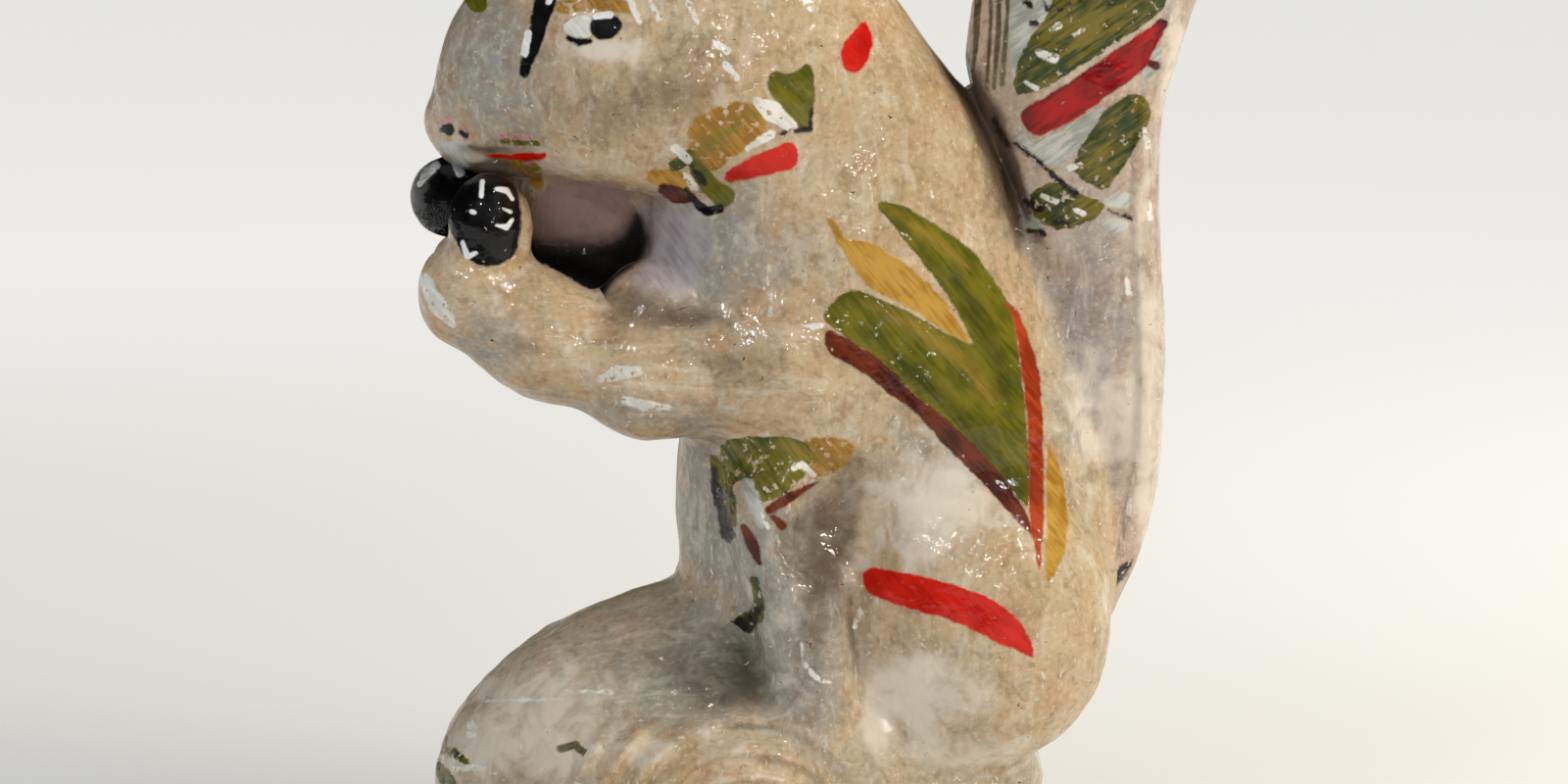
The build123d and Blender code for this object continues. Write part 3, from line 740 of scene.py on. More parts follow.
def islands(triangles, count):
    """For each triangle a number that it shares with all triangles joined to it."""
    label = np.arange(count)
    settled = False
    while not settled:
        before = label.copy()
        lowest = label[triangles].min(axis=1)
        for corner in range(3):
            np.minimum.at(label, triangles[:, corner], lowest)
        label = label[label]
        settled = (label == before).all()
    return label[triangles[:, 0]]


def cut_joint(surface, side):
    """Cuts two forms apart; a crumb of one that lies inside the other goes to the other."""
    parts = cut(surface, side)
    crumbs = []
    for part in parts:
        number = islands(part.triangles, len(part.points))
        crumbs.append(np.bincount(number)[number] < CRUMB_TRIANGLES)
    joined = []
    for own, other in ((0, 1), (1, 0)):
        kept, given = ~crumbs[own], crumbs[other]
        triangles = np.concatenate([parts[own].triangles[kept], parts[other].triangles[given]])
        skin = np.concatenate([parts[own].skin[kept], parts[other].skin[given]])
        joined.append(Surface(parts[own].points, triangles, skin))
    return joined


def openings(triangles):
    """Loops of points round each opening, in the direction that closing faces take."""
    edges = edges_of(triangles)
    size = triangles.max() + 1
    free = ~np.isin(edges[:, 0] * size + edges[:, 1], edges[:, 1] * size + edges[:, 0])
    follow = {}
    for start, end in edges[free].tolist():
        follow.setdefault(end, []).append(start)
    loops = []
    while follow:
        first = next(iter(follow))
        loop = []
        here = first
        while here != first or not loop:
            loop.append(here)
            ends = follow[here]
            following = ends.pop()
            if not ends:
                del follow[here]
            here = following
        loops.append(loop)
    return loops


def fill(places, loops):
    """Counter-clockwise triangles that fill flat outlines, or None where outlines cross.

    The triangles number the places in the order of the loops.
    """
    edges = []
    for loop in loops:
        first = len(edges)
        edges += [(first + step, first + (step + 1) % len(loop)) for step in range(len(loop))]
    filled = delaunay_2d_cdt([Vector(place) for place in places.tolist()], edges, [], INSIDE_WITH_HOLES, 1e-9)
    if not all(filled[3]):
        return None
    origin = np.array([first for first, *_ in filled[3]])
    faces = origin[np.array(filled[2])]
    a, b, c = (places[faces[:, corner]] for corner in range(3))
    clockwise = np.cross(b - a, c - a) < 0
    faces[clockwise] = faces[clockwise][:, ::-1]
    return faces


def with_joint(surface, faces):
    """A surface with joint faces added, which aren't skin."""
    skin = np.concatenate([surface.skin, np.zeros(len(faces), dtype=bool)])
    return Surface(surface.points, np.concatenate([surface.triangles, faces]), skin)


def close(surface):
    """Closes each opening with joint faces between the points round it."""
    closed = surface
    for loop in openings(surface.triangles):
        spokes = surface.points[loop] - surface.points[loop].mean(axis=0)
        outward = Vector(np.cross(spokes, np.roll(spokes, -1, axis=0)).sum(axis=0)).normalized()
        for lean in LEANS:
            view = outward + Vector(lean)
            across = view.orthogonal().normalized()
            up = view.normalized().cross(across)
            faces = fill(spokes @ np.array([across, up]).T, [loop])
            if faces is not None:
                break
        closed = with_joint(closed, np.array(loop)[faces])
    return closed


def close_flat(surface, facing):
    """Closes the openings in the parting plane with one flat joint face, towards +Y or -Y."""
    loops = openings(surface.triangles)
    numbers = np.concatenate(loops)
    x, y, z = surface.points[numbers].T
    places = np.stack([z + SLANT_UP * y, x + SLANT_ALONG * y], axis=1)
    faces = numbers[fill(places, loops)][:, ::facing]
    return with_joint(surface, faces), [surface.points[loop] for loop in loops]


def to_photo(points):
    """Where points, taken to the near side, appear in the photograph, in pixels."""
    x = points[:, 0] - VIEW_CENTRE[0]
    y = -np.abs(points[:, 1]) - VIEW_CENTRE[1]
    z = points[:, 2] - VIEW_CENTRE[2]
    rise, run = math.sin(VIEW_ELEVATION), math.cos(VIEW_ELEVATION)
    scale = PIXELS_PER_MM * VIEW_DISTANCE / (VIEW_DISTANCE + y * run - z * rise)
    return PHOTO_WIDTH / 2 + x * scale, PHOTO_HEIGHT / 2 - (y * rise + z * run) * scale


def from_segment(u, v, start, end):
    """How far pixels are from a straight segment, and at which share of it they are nearest."""
    run_u, run_v = end[0] - start[0], end[1] - start[1]
    share = np.clip(((u - start[0]) * run_u + (v - start[1]) * run_v) / (run_u**2 + run_v**2), 0, 1)
    return np.hypot(u - start[0] - share * run_u, v - start[1] - share * run_v), share


def stroke_distance(u, v, stroke):
    """How far pixels are from a brush stroke, negative inside."""
    nearest = np.full(len(u), FAR * PIXELS_PER_MM)
    for start, end in zip(stroke, stroke[1:]):
        away, share = from_segment(u, v, start, end)
        nearest = np.minimum(nearest, away - start[2] - (end[2] - start[2]) * share)
    return nearest


def rounded(outline):
    """An outline whose corners are cut off a quarter along each side."""
    corners = []
    for (u0, v0), (u1, v1) in sides_of(outline):
        for share in (0.25, 0.75):
            corners.append((u0 + share * (u1 - u0), v0 + share * (v1 - v0)))
    return corners


def patch_distance(u, v, outline):
    """How far pixels are from an outlined patch, negative inside."""
    nearest = np.full(len(u), FAR * PIXELS_PER_MM)
    inside = np.zeros(len(u), dtype=bool)
    for start, end in sides_of(rounded(outline)):
        nearest = np.minimum(nearest, from_segment(u, v, start, end)[0])
        if start[1] != end[1]:
            crossed = (start[1] > v) != (end[1] > v)
            inside ^= crossed & (u < start[0] + (v - start[1]) / (end[1] - start[1]) * (end[0] - start[0]))
    return np.where(inside, -nearest, nearest)


def paint_distance(u, v, shapes):
    """How far pixels are from the nearest of several painted marks, in mm."""
    nearest = np.full(len(u), FAR * PIXELS_PER_MM)
    for shape in shapes:
        distance = stroke_distance if len(shape[0]) == 3 else patch_distance
        nearest = np.minimum(nearest, distance(u, v, shape))
    return nearest / PIXELS_PER_MM


def stains(u, v, spots):
    total = np.zeros(len(u))
    for x, y, across, down, strength in spots:
        total += strength * np.exp(-(((u - x) / across) ** 2) - ((v - y) / down) ** 2)
    return np.clip(total, 0, 1)


def hollowness(points, directions, sign=1):
    """How far the plaster closes in along a direction: 0 where it is flat, 1 in deep creases."""
    total = np.zeros(len(points))
    for length in HOLLOW_LENGTHS:
        total += 1 - sign * at_points(whole_field, points + directions * length) / length
    return np.clip(total / len(HOLLOW_LENGTHS), 0, 1)


def surface_values(points, normals, paint):
    """What the materials read at each point: paint distances in mm, stains of painted light, and hollowness.
    """
    u, v = to_photo(points)
    facing = -normals[:, 1] * np.where(points[:, 1] > 0, -1, 1)
    turned_away = (FACING_LEAST - facing) * TURNED_AWAY_RATE
    values = {}
    for layer, shapes in paint.items():
        values[layer] = np.clip(np.maximum(paint_distance(u, v, shapes), turned_away), -FAR, FAR)
    for kind, spots in STAINS.items():
        values[kind] = stains(u, v, spots) * step_up(facing, *STAIN_FACING)
    values["hollow"] = hollowness(points, normals)
    values["swell"] = hollowness(points, -normals, -1)
    return values


def colour(screen):
    """A screen colour from 0 to 255 as the linear colour that shaders take."""
    shares = [value / 255 for value in screen]
    linear = [share / 12.92 if share <= 0.04045 else ((share + 0.055) / 1.055) ** 2.4 for share in shares]
    return (*linear, 1.0)


class Finish:
    """Builds one material from nodes; an input may be a number, a colour or another node's output."""

    def __init__(self, name):
        self.material = bpy.data.materials.new(name)
        self.material.use_nodes = True
        self.tree = self.material.node_tree
        self.shader = self.tree.nodes["Principled BSDF"]
        self.place = self.node("ShaderNodeTexCoord").outputs["Object"]

    def feed(self, socket, value):
        if isinstance(value, bpy.types.NodeSocket):
            self.tree.links.new(value, socket)
        else:
            socket.default_value = value

    def set(self, name, value):
        """Gives a value to one of the shader's inputs."""
        self.feed(self.shader.inputs[name], value)

    def node(self, kind, inputs=None, **settings):
        node = self.tree.nodes.new(kind)
        for name, value in settings.items():
            setattr(node, name, value)
        for name, value in (inputs or {}).items():
            self.feed(node.inputs[name], value)
        return node

    def value(self, name):
        """A value stored on the mesh."""
        return self.node("ShaderNodeAttribute", attribute_name=name).outputs["Fac"]

    def stretched(self, along):
        """Coordinates that stretch a texture along an axis."""
        return self.node("ShaderNodeVectorMath", {0: self.place, 1: along}, operation="MULTIPLY").outputs[0]

    def slanted(self, angle):
        """Coordinates that stretch a texture along a slanting line in XZ."""
        inputs = {"Vector": self.place, "Rotation": (0, angle, 0), "Scale": (1, 1, 0.12)}
        return self.node("ShaderNodeMapping", inputs, vector_type="TEXTURE").outputs[0]

    def noise(self, size, detail=3.0, roughness=0.55, distortion=0.0, place=None):
        """Cloudy noise whose blotches are about a size in mm across."""
        inputs = {
            "Vector": place or self.place,
            "Scale": 1 / (size * MM),
            "Detail": detail,
            "Roughness": roughness,
            "Distortion": distortion,
        }
        return self.node("ShaderNodeTexNoise", inputs).outputs["Fac"]

    def cells(self, size):
        """Distance to scattered points that lie about a size in mm apart, as a share of it."""
        inputs = {"Vector": self.place, "Scale": 1 / (size * MM)}
        return self.node("ShaderNodeTexVoronoi", inputs).outputs["Distance"]

    def math(self, operation, first, second):
        return self.node("ShaderNodeMath", {0: first, 1: second}, operation=operation).outputs[0]

    def plus(self, first, second):
        return self.math("ADD", first, second)

    def less(self, first, second):
        return self.math("SUBTRACT", first, second)

    def times(self, first, second):
        return self.math("MULTIPLY", first, second)

    def fade(self, value, start, end, least=0.0, most=1.0):
        """A smooth change from least to most as a value goes from start to end."""
        inputs = {"Value": value, "From Min": start, "From Max": end, "To Min": least, "To Max": most}
        return self.node("ShaderNodeMapRange", inputs, interpolation_type="SMOOTHSTEP").outputs[0]

    def mix(self, share, first, second):
        inputs = {0: share, 6: first, 7: second}
        return self.node("ShaderNodeMix", inputs, data_type="RGBA").outputs[2]

    def bump(self, normal, height, strength, distance):
        """Tilts one of the shader's normals by a height, which counts in shares of a distance in mm."""
        inputs = {"Height": height, "Strength": strength, "Distance": distance * MM}
        self.set(normal, self.node("ShaderNodeBump", inputs).outputs["Normal"])


# Paint, in the order it was laid on: a dark and a light shade, the share that has flaked off, and how soft
# and how ragged its edge is, in mm. Some layers are painted light instead of paint: the pocket's shade and
# shadow, the chest's cool shade, the glints, and the highlights in the white layer
Paint = namedtuple("Paint", "dark light wear edge ragged", defaults=(0.04, 0.24, 1.1))
PAINTS = {
    # Painted cool shade of the chest, not paint
    "lavender_chest_shade": Paint((150, 140, 146), (176, 168, 172), 0.02, 2.4, 1.8),
    # Painted shade and shadow of the pocket, not paint
    "pocket_shade": Paint((154, 127, 119), (160, 132, 124), 0.0, 0.4, 0.5),
    "pocket_soft_shade": Paint((44, 30, 27), (48, 32, 30), 0.0, 1.6, 0.4),
    "pocket_shadow": Paint((3, 2, 2), (6, 4, 4), 0.0, 0.7, 0.8),
    "worn_ochre": Paint((144, 104, 30), (186, 140, 56), 0.26, 0.3, 1.4),
    "ochre": Paint((164, 118, 36), (198, 156, 70)),
    "worn_green": Paint((56, 66, 18), (118, 112, 40), 0.24, 0.16, 1.2),
    "green": Paint((82, 84, 14), (116, 110, 24)),
    "olive": Paint((124, 106, 30), (150, 126, 48), 0.05, 1.0, 1.2),
    "deep_green": Paint((60, 66, 10), (92, 90, 18), 0.05, 1.0, 1.2),
    "mint": Paint((154, 158, 148), (202, 202, 194), 0.15, 0.35, 1.5),
    "moss": Paint((44, 60, 18), (118, 106, 36), 0.17, 0.2, 1.4),
    "umber": Paint((82, 76, 50), (118, 110, 80), 0.15, 0.2, 0.5),
    "dark_red": Paint((62, 22, 6), (112, 44, 16)),
    "brick": Paint((140, 44, 12), (182, 68, 26)),
    "red": Paint((184, 14, 6), (212, 30, 10)),
    "crimson": Paint((108, 4, 4), (168, 12, 10)),
    "soot": Paint((14, 12, 10), (44, 36, 28), 0.2, 0.3, 2.0),
    "pink": Paint((176, 84, 96), (214, 150, 150), 0.4),
    # White paint, and painted highlights
    "white_and_highlight": Paint((212, 210, 200), (240, 238, 230), 0.24, 0.2, 1.2),
    "ivory": Paint((200, 202, 190), (232, 232, 224), 0.0, 0.12, 0.5),
    "black": Paint((6, 5, 6), (14, 12, 15)),
    # Painted highlights
    "glint": Paint((232, 234, 236), (248, 248, 248), 0.0, 0.14, 0.6),
}
# Slant of the brush strokes in the leaf and in the tail's bands
LEAF_BRUSH, TAIL_BRUSH = math.radians(50), math.radians(-34)
# Paint has flaked off where a noise is below a level, which rises with its wear, over an edge
FLAKED_LEAST, FLAKED_PER_WEAR, FLAKE_BELOW, FLAKE_ABOVE = 0.22, 0.7, 0.05, 0.04
# Relief, in shares of a bump's distance: grain, crumbs and scratches, pits, paint, and waves of the varnish
GRAIN_HEIGHT, CRUMB_HEIGHT, PIT_DEPTH, PAINT_HEIGHT, VARNISH_HEIGHT = 0.18, 0.3, 0.8, 0.5, 1.4
# Plaster shades: two of the ground, three of its blotches, the rubbed patches and the dirt. The grey one also
# serves for painted cool shade, the pale one for painted highlights, and the last one for painted shade
Ground = namedtuple("Ground", "warm light pink brown grey pale shade")
# Mottling of the plaster, in the order it is laid on: a pattern, where in its range a shade sets in and where
# it is full, the most of it, and the shade. Greyness holds painted cool shade, the haze and the rubbed
# patches hold painted highlights, and the dirt holds painted shade
MOTTLING = [
    ("blotch", 0.48, 0.66, 0.65, "pink"),
    ("greyness", 0.0, 0.9, 0.9, "grey"),
    ("middling", 0.5, 0.7, 0.6, "brown"),
    ("middling", 0.46, 0.32, 0.5, "light"),
    ("fine", 0.52, 0.68, 0.34, "brown"),
    ("fine", 0.45, 0.32, 0.3, "pale"),
    ("streak", 0.52, 0.7, 0.3, "pale"),
    ("streak", 0.46, 0.3, 0.3, "brown"),
    ("haze_and_sheen", 0.55, 0.95, 0.8, "pale"),
    ("rubbed_and_edge_light", 0.66, 0.76, 0.8, "pale"),
    ("dirt_and_shade", 0.28, 0.9, 0.85, "shade"),
]


def plaster_patterns(finish, flow):
    """The patterns that the mottling follows, from noises and from the values stored on the mesh."""
    # The stored stains are painted light: cool shade, shade and highlight; hollow and swell measure the
    # plaster's form
    cool, dark, pale, hollow, swell = map(finish.value, ("cool", "dark", "pale", "hollow", "swell"))
    flowing = finish.stretched(flow)
    blotch = finish.noise(5.5, 4, 0.6, 0.4)
    middling = finish.noise(2.2, 4, 0.62, 0.4)
    # Dirt and painted shade in the hollows and in the dark stains, less where the pale stains paint
    # highlights
    dirt_and_shade = finish.less(finish.plus(hollow, finish.times(dark, 0.7)), finish.times(pale, 0.5))
    return {
        "broad": finish.noise(15, 3, 0.5),
        "blotch": blotch,
        "greyness": finish.plus(cool, finish.times(finish.less(blotch, 0.5), -1.4)),
        "middling": middling,
        "fine": finish.noise(0.9, 3, 0.6),
        "streak": finish.noise(2.8, 3, 0.6, 0.4, flowing),
        # Milky varnish and painted sheen, thickest where the pale stains paint highlights
        "haze_and_sheen": finish.plus(finish.noise(6, 3, 0.55, 0.6), finish.times(pale, 0.45)),
        # Rubbed scratches of bare pale plaster, with more pale on the swells as a painted edge highlight
        "rubbed_and_edge_light": finish.plus(finish.noise(1.3, 3, 0.6, 0.5, flowing), finish.times(swell, 0.16)),
        "dirt_and_shade": finish.plus(dirt_and_shade, finish.times(finish.less(middling, 0.5), 0.3)),
    }


def painted_plaster(name, layers, ground, flow, brush, coat=0.45):
    """Varnished plaster, mottled and stained, with brushed paint that has worn at its edges."""
    finish = Finish(name)
    shades = Ground(*map(colour, ground))
    patterns = plaster_patterns(finish, flow)
    base = finish.mix(finish.fade(patterns["broad"], 0.36, 0.64), shades.warm, shades.light)
    shares = {}
    for pattern, start, full, most, shade in MOTTLING:
        shares[pattern] = finish.fade(patterns[pattern], start, full, 0, most)
        base = finish.mix(shares[pattern], base, getattr(shades, shade))
    # Pale crumbs, dark specks and small pits
    scattered = finish.noise(6, 2)
    grain = finish.noise(1.1, 2, 0.5, 0.8)
    crumb = finish.times(finish.fade(grain, 0.66, 0.72), finish.fade(scattered, 0.5, 0.38))
    base = finish.mix(crumb, base, shades.pale)
    speck = finish.times(finish.fade(grain, 0.29, 0.24), finish.fade(scattered, 0.45, 0.6))
    base = finish.mix(speck, base, shades.shade)
    height = finish.times(patterns["fine"], GRAIN_HEIGHT)
    height = finish.plus(height, finish.times(finish.plus(shares["rubbed_and_edge_light"], crumb), CRUMB_HEIGHT))
    height = finish.less(height, finish.times(speck, PIT_DEPTH))
    # Brushed paint
    ragged = finish.less(finish.noise(2, 4, 0.68), 0.5)
    chips = finish.noise(1.2, 2, 0.5)
    brushing = finish.plus(finish.noise(6, 2), finish.noise(5, 3, 0.6, 0.3, finish.slanted(brush)))
    brushing = finish.fade(brushing, 0.8, 1.2)
    for layer in layers:
        paint = PAINTS[layer]
        distance = finish.plus(finish.value(layer), finish.times(ragged, paint.ragged))
        flaked = FLAKED_LEAST + FLAKED_PER_WEAR * paint.wear
        unflaked = finish.fade(chips, flaked - FLAKE_BELOW, flaked + FLAKE_ABOVE)
        covered = finish.times(finish.fade(distance, paint.edge, -paint.edge), unflaked)
        base = finish.mix(covered, base, finish.mix(brushing, colour(paint.dark), colour(paint.light)))
        height = finish.plus(height, finish.times(covered, PAINT_HEIGHT))
    finish.set("Base Color", base)
    finish.set("Roughness", finish.fade(patterns["middling"], 0.3, 0.7, 0.34, 0.52))
    finish.set("Specular IOR Level", 0.12)
    finish.set("Coat Weight", coat)
    if "pocket_shadow" in layers:
        # The painted shadow deep in the pocket has no gloss
        finish.set("Coat Weight", finish.fade(finish.value("pocket_shadow"), -1, 1, 0, coat))
    finish.set("Coat Roughness", 0.05)
    finish.bump("Normal", height, 0.55, 0.25)
    # The varnish is wavy, so that it sparkles
    waves = finish.times(finish.noise(2.4, 2), VARNISH_HEIGHT)
    finish.bump("Coat Normal", finish.plus(height, waves), 0.75, 0.3)
    return finish.material


def bare_plaster(name):
    """Raw plaster for the plug and the seam films: chalky, with fine pores."""
    finish = Finish(name)
    broad = finish.noise(7, 4, 0.6)
    base = finish.mix(finish.fade(broad, 0.35, 0.65), colour((196, 178, 150)), colour((222, 208, 184)))
    pores = finish.fade(finish.cells(1.6), 0.22, 0.08)
    finish.set("Base Color", finish.mix(finish.times(pores, 0.6), base, colour((120, 100, 78))))
    finish.set("Roughness", finish.fade(broad, 0.3, 0.7, 0.7, 0.9))
    finish.bump("Normal", finish.less(finish.noise(1, 3), pores), 0.5, 0.2)
    return finish.material


def drawn_wire(name):
    """Drawn steel wire with traces of rust."""
    finish = Finish(name)
    rust = finish.fade(finish.noise(2, 4, 0.6), 0.55, 0.7)
    finish.set("Base Color", finish.mix(rust, colour((150, 150, 152)), colour((120, 66, 36))))
    finish.set("Roughness", finish.fade(rust, 0, 1, 0.3, 0.8))
    finish.set("Metallic", finish.fade(rust, 0, 1, 1, 0.1))
    finish.bump("Normal", finish.noise(0.5, 2, 0.5, 0, finish.stretched((0.1, 1, 1))), 0.2, 0.05)
    return finish.material


def place_piece(mesh, material, node):
    """Puts a mesh into the scene in place of its CAD node."""
    mesh.materials.append(material)
    piece = bpy.data.objects.new(mesh.name, mesh)
    bpy.context.collection.objects.link(piece)
    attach(piece, "root")
    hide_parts(node)


def add_piece(name, surface, material, node, paint, green_below=None):
    """Makes one piece of the figurine, with its stored values; it may be green below a height."""
    used, corners = np.unique(surface.triangles, return_inverse=True)
    corners = corners.reshape(-1, 3)
    points = surface.points[used]
    normals = unit(slopes_at(whole_field, points))
    mesh = bpy.data.meshes.new(name)
    mesh.from_pydata((points * MM).tolist(), [], corners.tolist())
    a, b, c = (points[corners[:, corner]] for corner in range(3))
    flat = unit(np.cross(b - a, c - a))
    corner_normals = np.where(surface.skin[:, None, None], normals[corners], flat[:, None, :])
    mesh.polygons.foreach_set("use_smooth", np.ones(len(corners), dtype=bool))
    mesh.normals_split_custom_set(corner_normals.reshape(-1, 3).tolist())
    values = surface_values(points, normals, paint)
    if green_below is not None:
        values["worn_green"] = points[:, 2] - green_below
    for value_name, numbers in values.items():
        stored = mesh.attributes.new(value_name, "FLOAT", "POINT")
        stored.data.foreach_set("value", numbers.astype(np.float32))
    place_piece(mesh, material, node)


def evenly_spaced(line):
    """A closed line with its points a seam's step apart."""
    closed = np.concatenate([line, line[:1]])
    steps = np.linalg.norm(np.diff(closed, axis=0), axis=1)
    travelled = np.concatenate([[0], np.cumsum(steps)])
    count = max(int(travelled[-1] / SEAM_STEP), SEAM_LEAST_STEPS)
    places = np.arange(count) * travelled[-1] / count
    return np.stack([np.interp(places, travelled, closed[:, axis]) for axis in (0, 1)], axis=1)


def add_seam(name, loops, material, node):
    """A film of plaster that stands a little out of the joint between two halves."""
    section = [(SEAM_PROUD, 0), (0, SEAM_HALF_WIDTH), (-SEAM_DEPTH, SEAM_HALF_WIDTH),
               (-SEAM_DEPTH, -SEAM_HALF_WIDTH), (0, -SEAM_HALF_WIDTH)]
    ring = len(section)
    vertices = []
    faces = []
    for loop in loops:
        line = evenly_spaced(loop[:, [0, 2]])
        along = unit(np.roll(line, -1, axis=0) - np.roll(line, 1, axis=0))
        area = np.sum(line[:, 0] * np.roll(line[:, 1], -1) - np.roll(line[:, 0], -1) * line[:, 1])
        outward = np.stack([along[:, 1], -along[:, 0]], axis=1) * np.sign(area)
        start = len(vertices)
        for (x, z), (out_x, out_z) in zip(line, outward):
            vertices += [(x + out_x * proud, across, z + out_z * proud) for proud, across in section]
        for number in range(len(line)):
            here = start + number * ring
            following = start + (number + 1) % len(line) * ring
            for corner in range(ring):
                beside = (corner + 1) % ring
                face = (here + corner, here + beside, following + beside, following + corner)
                faces.append(face if area > 0 else face[::-1])
    mesh = bpy.data.meshes.new(name)
    mesh.from_pydata((np.array(vertices) * MM).tolist(), [], faces)
    mesh.polygons.foreach_set("use_smooth", np.ones(len(faces), dtype=bool))
    place_piece(mesh, material, node)


def side_of(first, *others):
    """Where points lie nearer to one form than to the others: below zero on that form."""
    def side(points):
        return at_points(first, points) - np.minimum.reduce([at_points(other, points) for other in others])
    return side


def arm_side(points):
    """Below zero on the arms, which keep clear of the parting plane."""
    return np.maximum(side_of(arm_field, body_field)(points), ARM_PLANE_GAP - np.abs(points[:, 1]))


def parting(points):
    return points[:, 1]


def all_skin(points, triangles):
    """A sculpted surface before it is cut."""
    return Surface(points, triangles, np.ones(len(triangles), dtype=bool))


def layers_of(*painted):
    """The layers that some pieces carry, in the order of painting."""
    return [layer for layer in PAINTS if any(layer in paint for paint in painted)]


# Sculpt the whole figure, with a finer mesh where there are small marks
points, triangles = mesh_of(whole_field, SCULPT_LOW, SCULPT_HIGH, VOXEL)
points = settle(whole_field, points, VOXEL / 2)
photo_x, photo_y = to_photo(points)
wanted = np.zeros(len(points), dtype=bool)
for place_x, place_y, radius in FINE_PLACES:
    wanted |= np.hypot(photo_x - place_x, photo_y - place_y) < radius
points, triangles = refine(points, triangles, wanted)
points = settle(whole_field, points, VOXEL / 3)
figure = all_skin(points, triangles)

# Take it apart at its joints
base, squirrel = cut_joint(figure, side_of(base_field, body_field, arm_field, tail_field))
tail, squirrel = cut_joint(squirrel, side_of(tail_field, body_field))
arms, squirrel = cut_joint(squirrel, arm_side)
ears, squirrel = cut_joint(squirrel, side_of(ear_field, body_field))
base, tail, arms, ears, squirrel = map(close, (base, tail, arms, ears, squirrel))

# Materials
body_ground = Ground((186, 160, 122), (204, 182, 148), (196, 158, 122), (148, 122, 90), (148, 150, 144),
                     (232, 224, 208), (78, 62, 46))
tail_ground = Ground((178, 160, 138), (198, 182, 160), (184, 152, 134), (142, 122, 104), (156, 150, 150),
                     (230, 220, 202), (62, 46, 36))
base_ground = Ground((172, 156, 130), (186, 172, 146), (182, 158, 132), (138, 122, 98), (144, 146, 134),
                     (226, 216, 198), (62, 56, 42))
nut_ground = Ground((8, 8, 11), (14, 14, 20), (14, 8, 9), (12, 10, 10), (14, 16, 22), (26, 26, 32), (3, 2, 3))
upright, lying = (1.2, 1.0, 0.35), (0.2, 1.0, 1.2)
base_layers = layers_of(BASE_PAINT, ["worn_green"])
body_finish = painted_plaster("body_plaster", layers_of(BODY_PAINT), body_ground, upright, LEAF_BRUSH)
arm_finish = painted_plaster("arm_plaster", layers_of(ARM_PAINT), body_ground, lying, LEAF_BRUSH)
tail_finish = painted_plaster("tail_plaster", layers_of(TAIL_PAINT), tail_ground, upright, TAIL_BRUSH)
base_finish = painted_plaster("base_plaster", base_layers, base_ground, lying, TAIL_BRUSH)
nut_finish = painted_plaster("nut_plaster", layers_of(NUT_PAINT), nut_ground, upright, LEAF_BRUSH, 0.3)
bare_finish = bare_plaster("bare_plaster")
wire_finish = drawn_wire("wire")

# Pieces
add_piece("base_mound_sculpt", base, base_finish, "base_mound", BASE_PAINT, PLINTH_GREEN_TOP)
pairs = [
    ("body_half", squirrel, body_finish, "body_plaster", BODY_PAINT),
    ("arm", arms, arm_finish, "body_plaster", ARM_PAINT),
    ("ear", ears, body_finish, "body_plaster", BODY_PAINT),
    ("tail_half", tail, tail_finish, "tail_plaster", TAIL_PAINT),
]
seams = {}
for node, pair, material, slot, paint in pairs:
    for hand, side, facing in zip(("left", "right"), cut(pair, parting), (1, -1)):
        if openings(side.triangles):
            side, seams[node] = close_flat(side, facing)
        add_piece(f"{hand}_{node}_sculpt", side, material, f"{hand}_{node}", paint)
for node in ("body", "tail"):
    add_seam(f"{node}_seam_film", seams[f"{node}_half"], bare_finish, f"{node}_seam")
nut = all_skin(*mesh_of(nut_field, NUT_LOW, NUT_HIGH, NUT_VOXEL))
add_piece("nut_sculpt", nut, nut_finish, "nut", NUT_PAINT)

# The plug and the wire pins keep their CAD shapes
for node, material in (("base_plug", bare_finish), ("arm_pins", wire_finish), ("tail_pins", wire_finish)):
    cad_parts[node].material_slots[0].material = material

# Stage: a wide round floor, so that the figurine can be looked at from every side
FLOOR_RADIUS, FLOOR_SIDES = 6.0, 128
FLOOR_TINT, FLOOR_ROUGHNESS = (0.86, 0.85, 0.82, 1), 0.9
# The camera and the varnish see it a little darker and glowing, with more glow at a distance where the lamps
# don't reach, so that it stays pale around the shadow without clipping
SEEN_TINT, GLOW_TINT = (0.65, 0.66, 0.65, 1), (1, 0.98, 0.94, 1)
GLOW_NEAR, GLOW_FAR, GLOW_START, GLOW_END = 0.15, 0.62, 0.0, 1.0
turns = np.arange(FLOOR_SIDES) * 2 * math.pi / FLOOR_SIDES
rim = np.stack([np.cos(turns), np.sin(turns), np.zeros(FLOOR_SIDES)], axis=1) * FLOOR_RADIUS
stage_mesh = bpy.data.meshes.new("stage")
stage_mesh.from_pydata(rim.tolist(), [], [tuple(range(FLOOR_SIDES))])
stage = bpy.data.objects.new("stage", stage_mesh)
bpy.context.collection.objects.link(stage)
floor = Finish("stage")
ray = floor.node("ShaderNodeLightPath").outputs
mirrored_ray = floor.plus(ray["Is Glossy Ray"], ray["Is Transmission Ray"])
seen = floor.plus(ray["Is Camera Ray"], mirrored_ray)
floor.set("Base Color", floor.mix(seen, FLOOR_TINT, SEEN_TINT))
floor.set("Roughness", FLOOR_ROUGHNESS)
from_centre = floor.node("ShaderNodeVectorMath", {0: floor.place}, operation="LENGTH").outputs["Value"]
glow = floor.fade(from_centre, GLOW_START, GLOW_END, GLOW_NEAR, GLOW_FAR)
floor.set("Emission Strength", floor.times(seen, glow))
floor.set("Emission Color", GLOW_TINT)
stage_mesh.materials.append(floor.material)

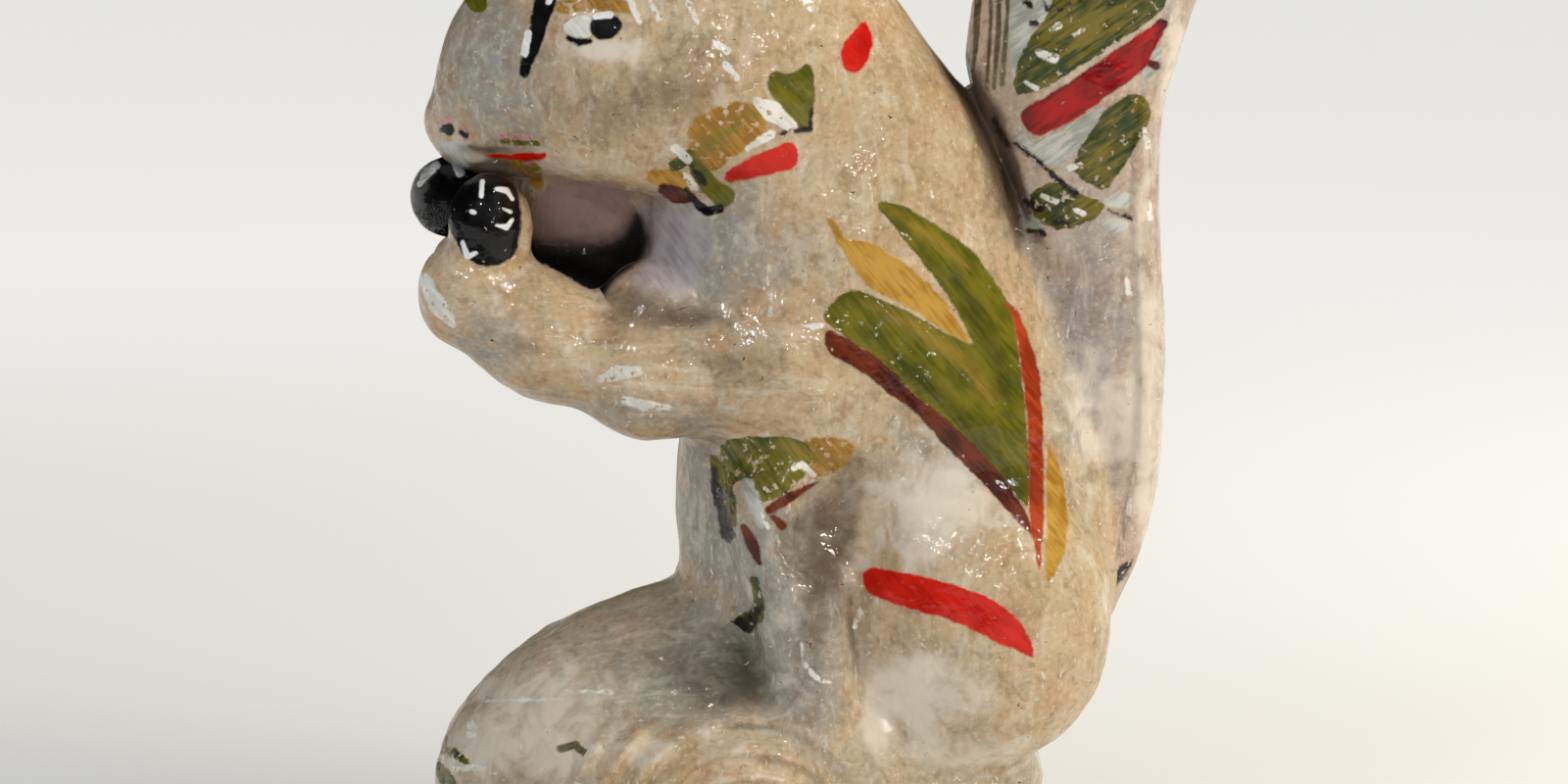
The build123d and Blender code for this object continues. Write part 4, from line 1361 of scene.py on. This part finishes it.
# Soft daylight all round, warm lamps from the right and behind, a cool one from the left
DAYLIGHT_TINT, DAYLIGHT_STRENGTH = (0.95, 0.97, 1.0, 1), 0.3
world = bpy.data.worlds.new("studio")
bpy.context.scene.world = world
world.use_nodes = True
daylight = world.node_tree.nodes["Background"].inputs
daylight["Color"].default_value = DAYLIGHT_TINT
daylight["Strength"].default_value = DAYLIGHT_STRENGTH
# The varnish mirrors the stage and the sparks, not the daylight
world.cycles_visibility.glossy = False
middle = Vector(VIEW_CENTRE) * MM


def area_light(name, place, size, power, tint, mirrored=False):
    """A soft lamp aimed at the figurine, or a small one that shows only in the varnish, as sparks."""
    lamp = bpy.data.lights.new(name, "AREA")
    lamp.shape = "DISK"
    lamp.size = size
    lamp.energy = power
    lamp.color = tint
    lamp_object = bpy.data.objects.new(name, lamp)
    lamp_object.location = place
    lamp_object.visible_glossy = mirrored
    lamp_object.visible_diffuse = not mirrored
    lamp_object.rotation_euler = (middle - Vector(place)).to_track_quat("-Z", "Y").to_euler()
    bpy.context.collection.objects.link(lamp_object)


area_light("warm_window", (0.55, -0.28, 0.5), 0.4, 3.7, (1, 0.91, 0.78))
area_light("cool_window", (-0.5, -0.55, 0.45), 0.5, 1.7, (0.9, 0.95, 1))
area_light("spark_right", (0.45, -0.5, 0.6), 0.05, 2.0, (1, 0.97, 0.9), True)
area_light("spark_left", (-0.35, -0.6, 0.7), 0.05, 1.5, (1, 1, 1), True)
area_light("spark_front", (0.12, -0.75, 0.42), 0.04, 0.8, (1, 0.98, 0.94), True)
area_light("spark_top", (0.3, -0.12, 0.85), 0.05, 1.2, (1, 0.97, 0.9), True)
area_light("back_window", (0.35, 0.3, 0.55), 0.3, 2.2, (1, 0.93, 0.82))

# Camera at the photograph's viewing angle
camera = bpy.data.cameras.new("camera")
camera.sensor_width = 36
camera.lens = camera.sensor_width * VIEW_DISTANCE / (PHOTO_WIDTH / PIXELS_PER_MM)
camera_object = bpy.data.objects.new("camera", camera)
away = Vector((0, -math.cos(VIEW_ELEVATION), math.sin(VIEW_ELEVATION))) * VIEW_DISTANCE * MM
camera_object.location = middle + away
camera_object.rotation_euler = (-away).to_track_quat("-Z", "Y").to_euler()
bpy.context.collection.objects.link(camera_object)
bpy.context.scene.camera = camera_object
bpy.context.scene.view_settings.view_transform = "Standard"
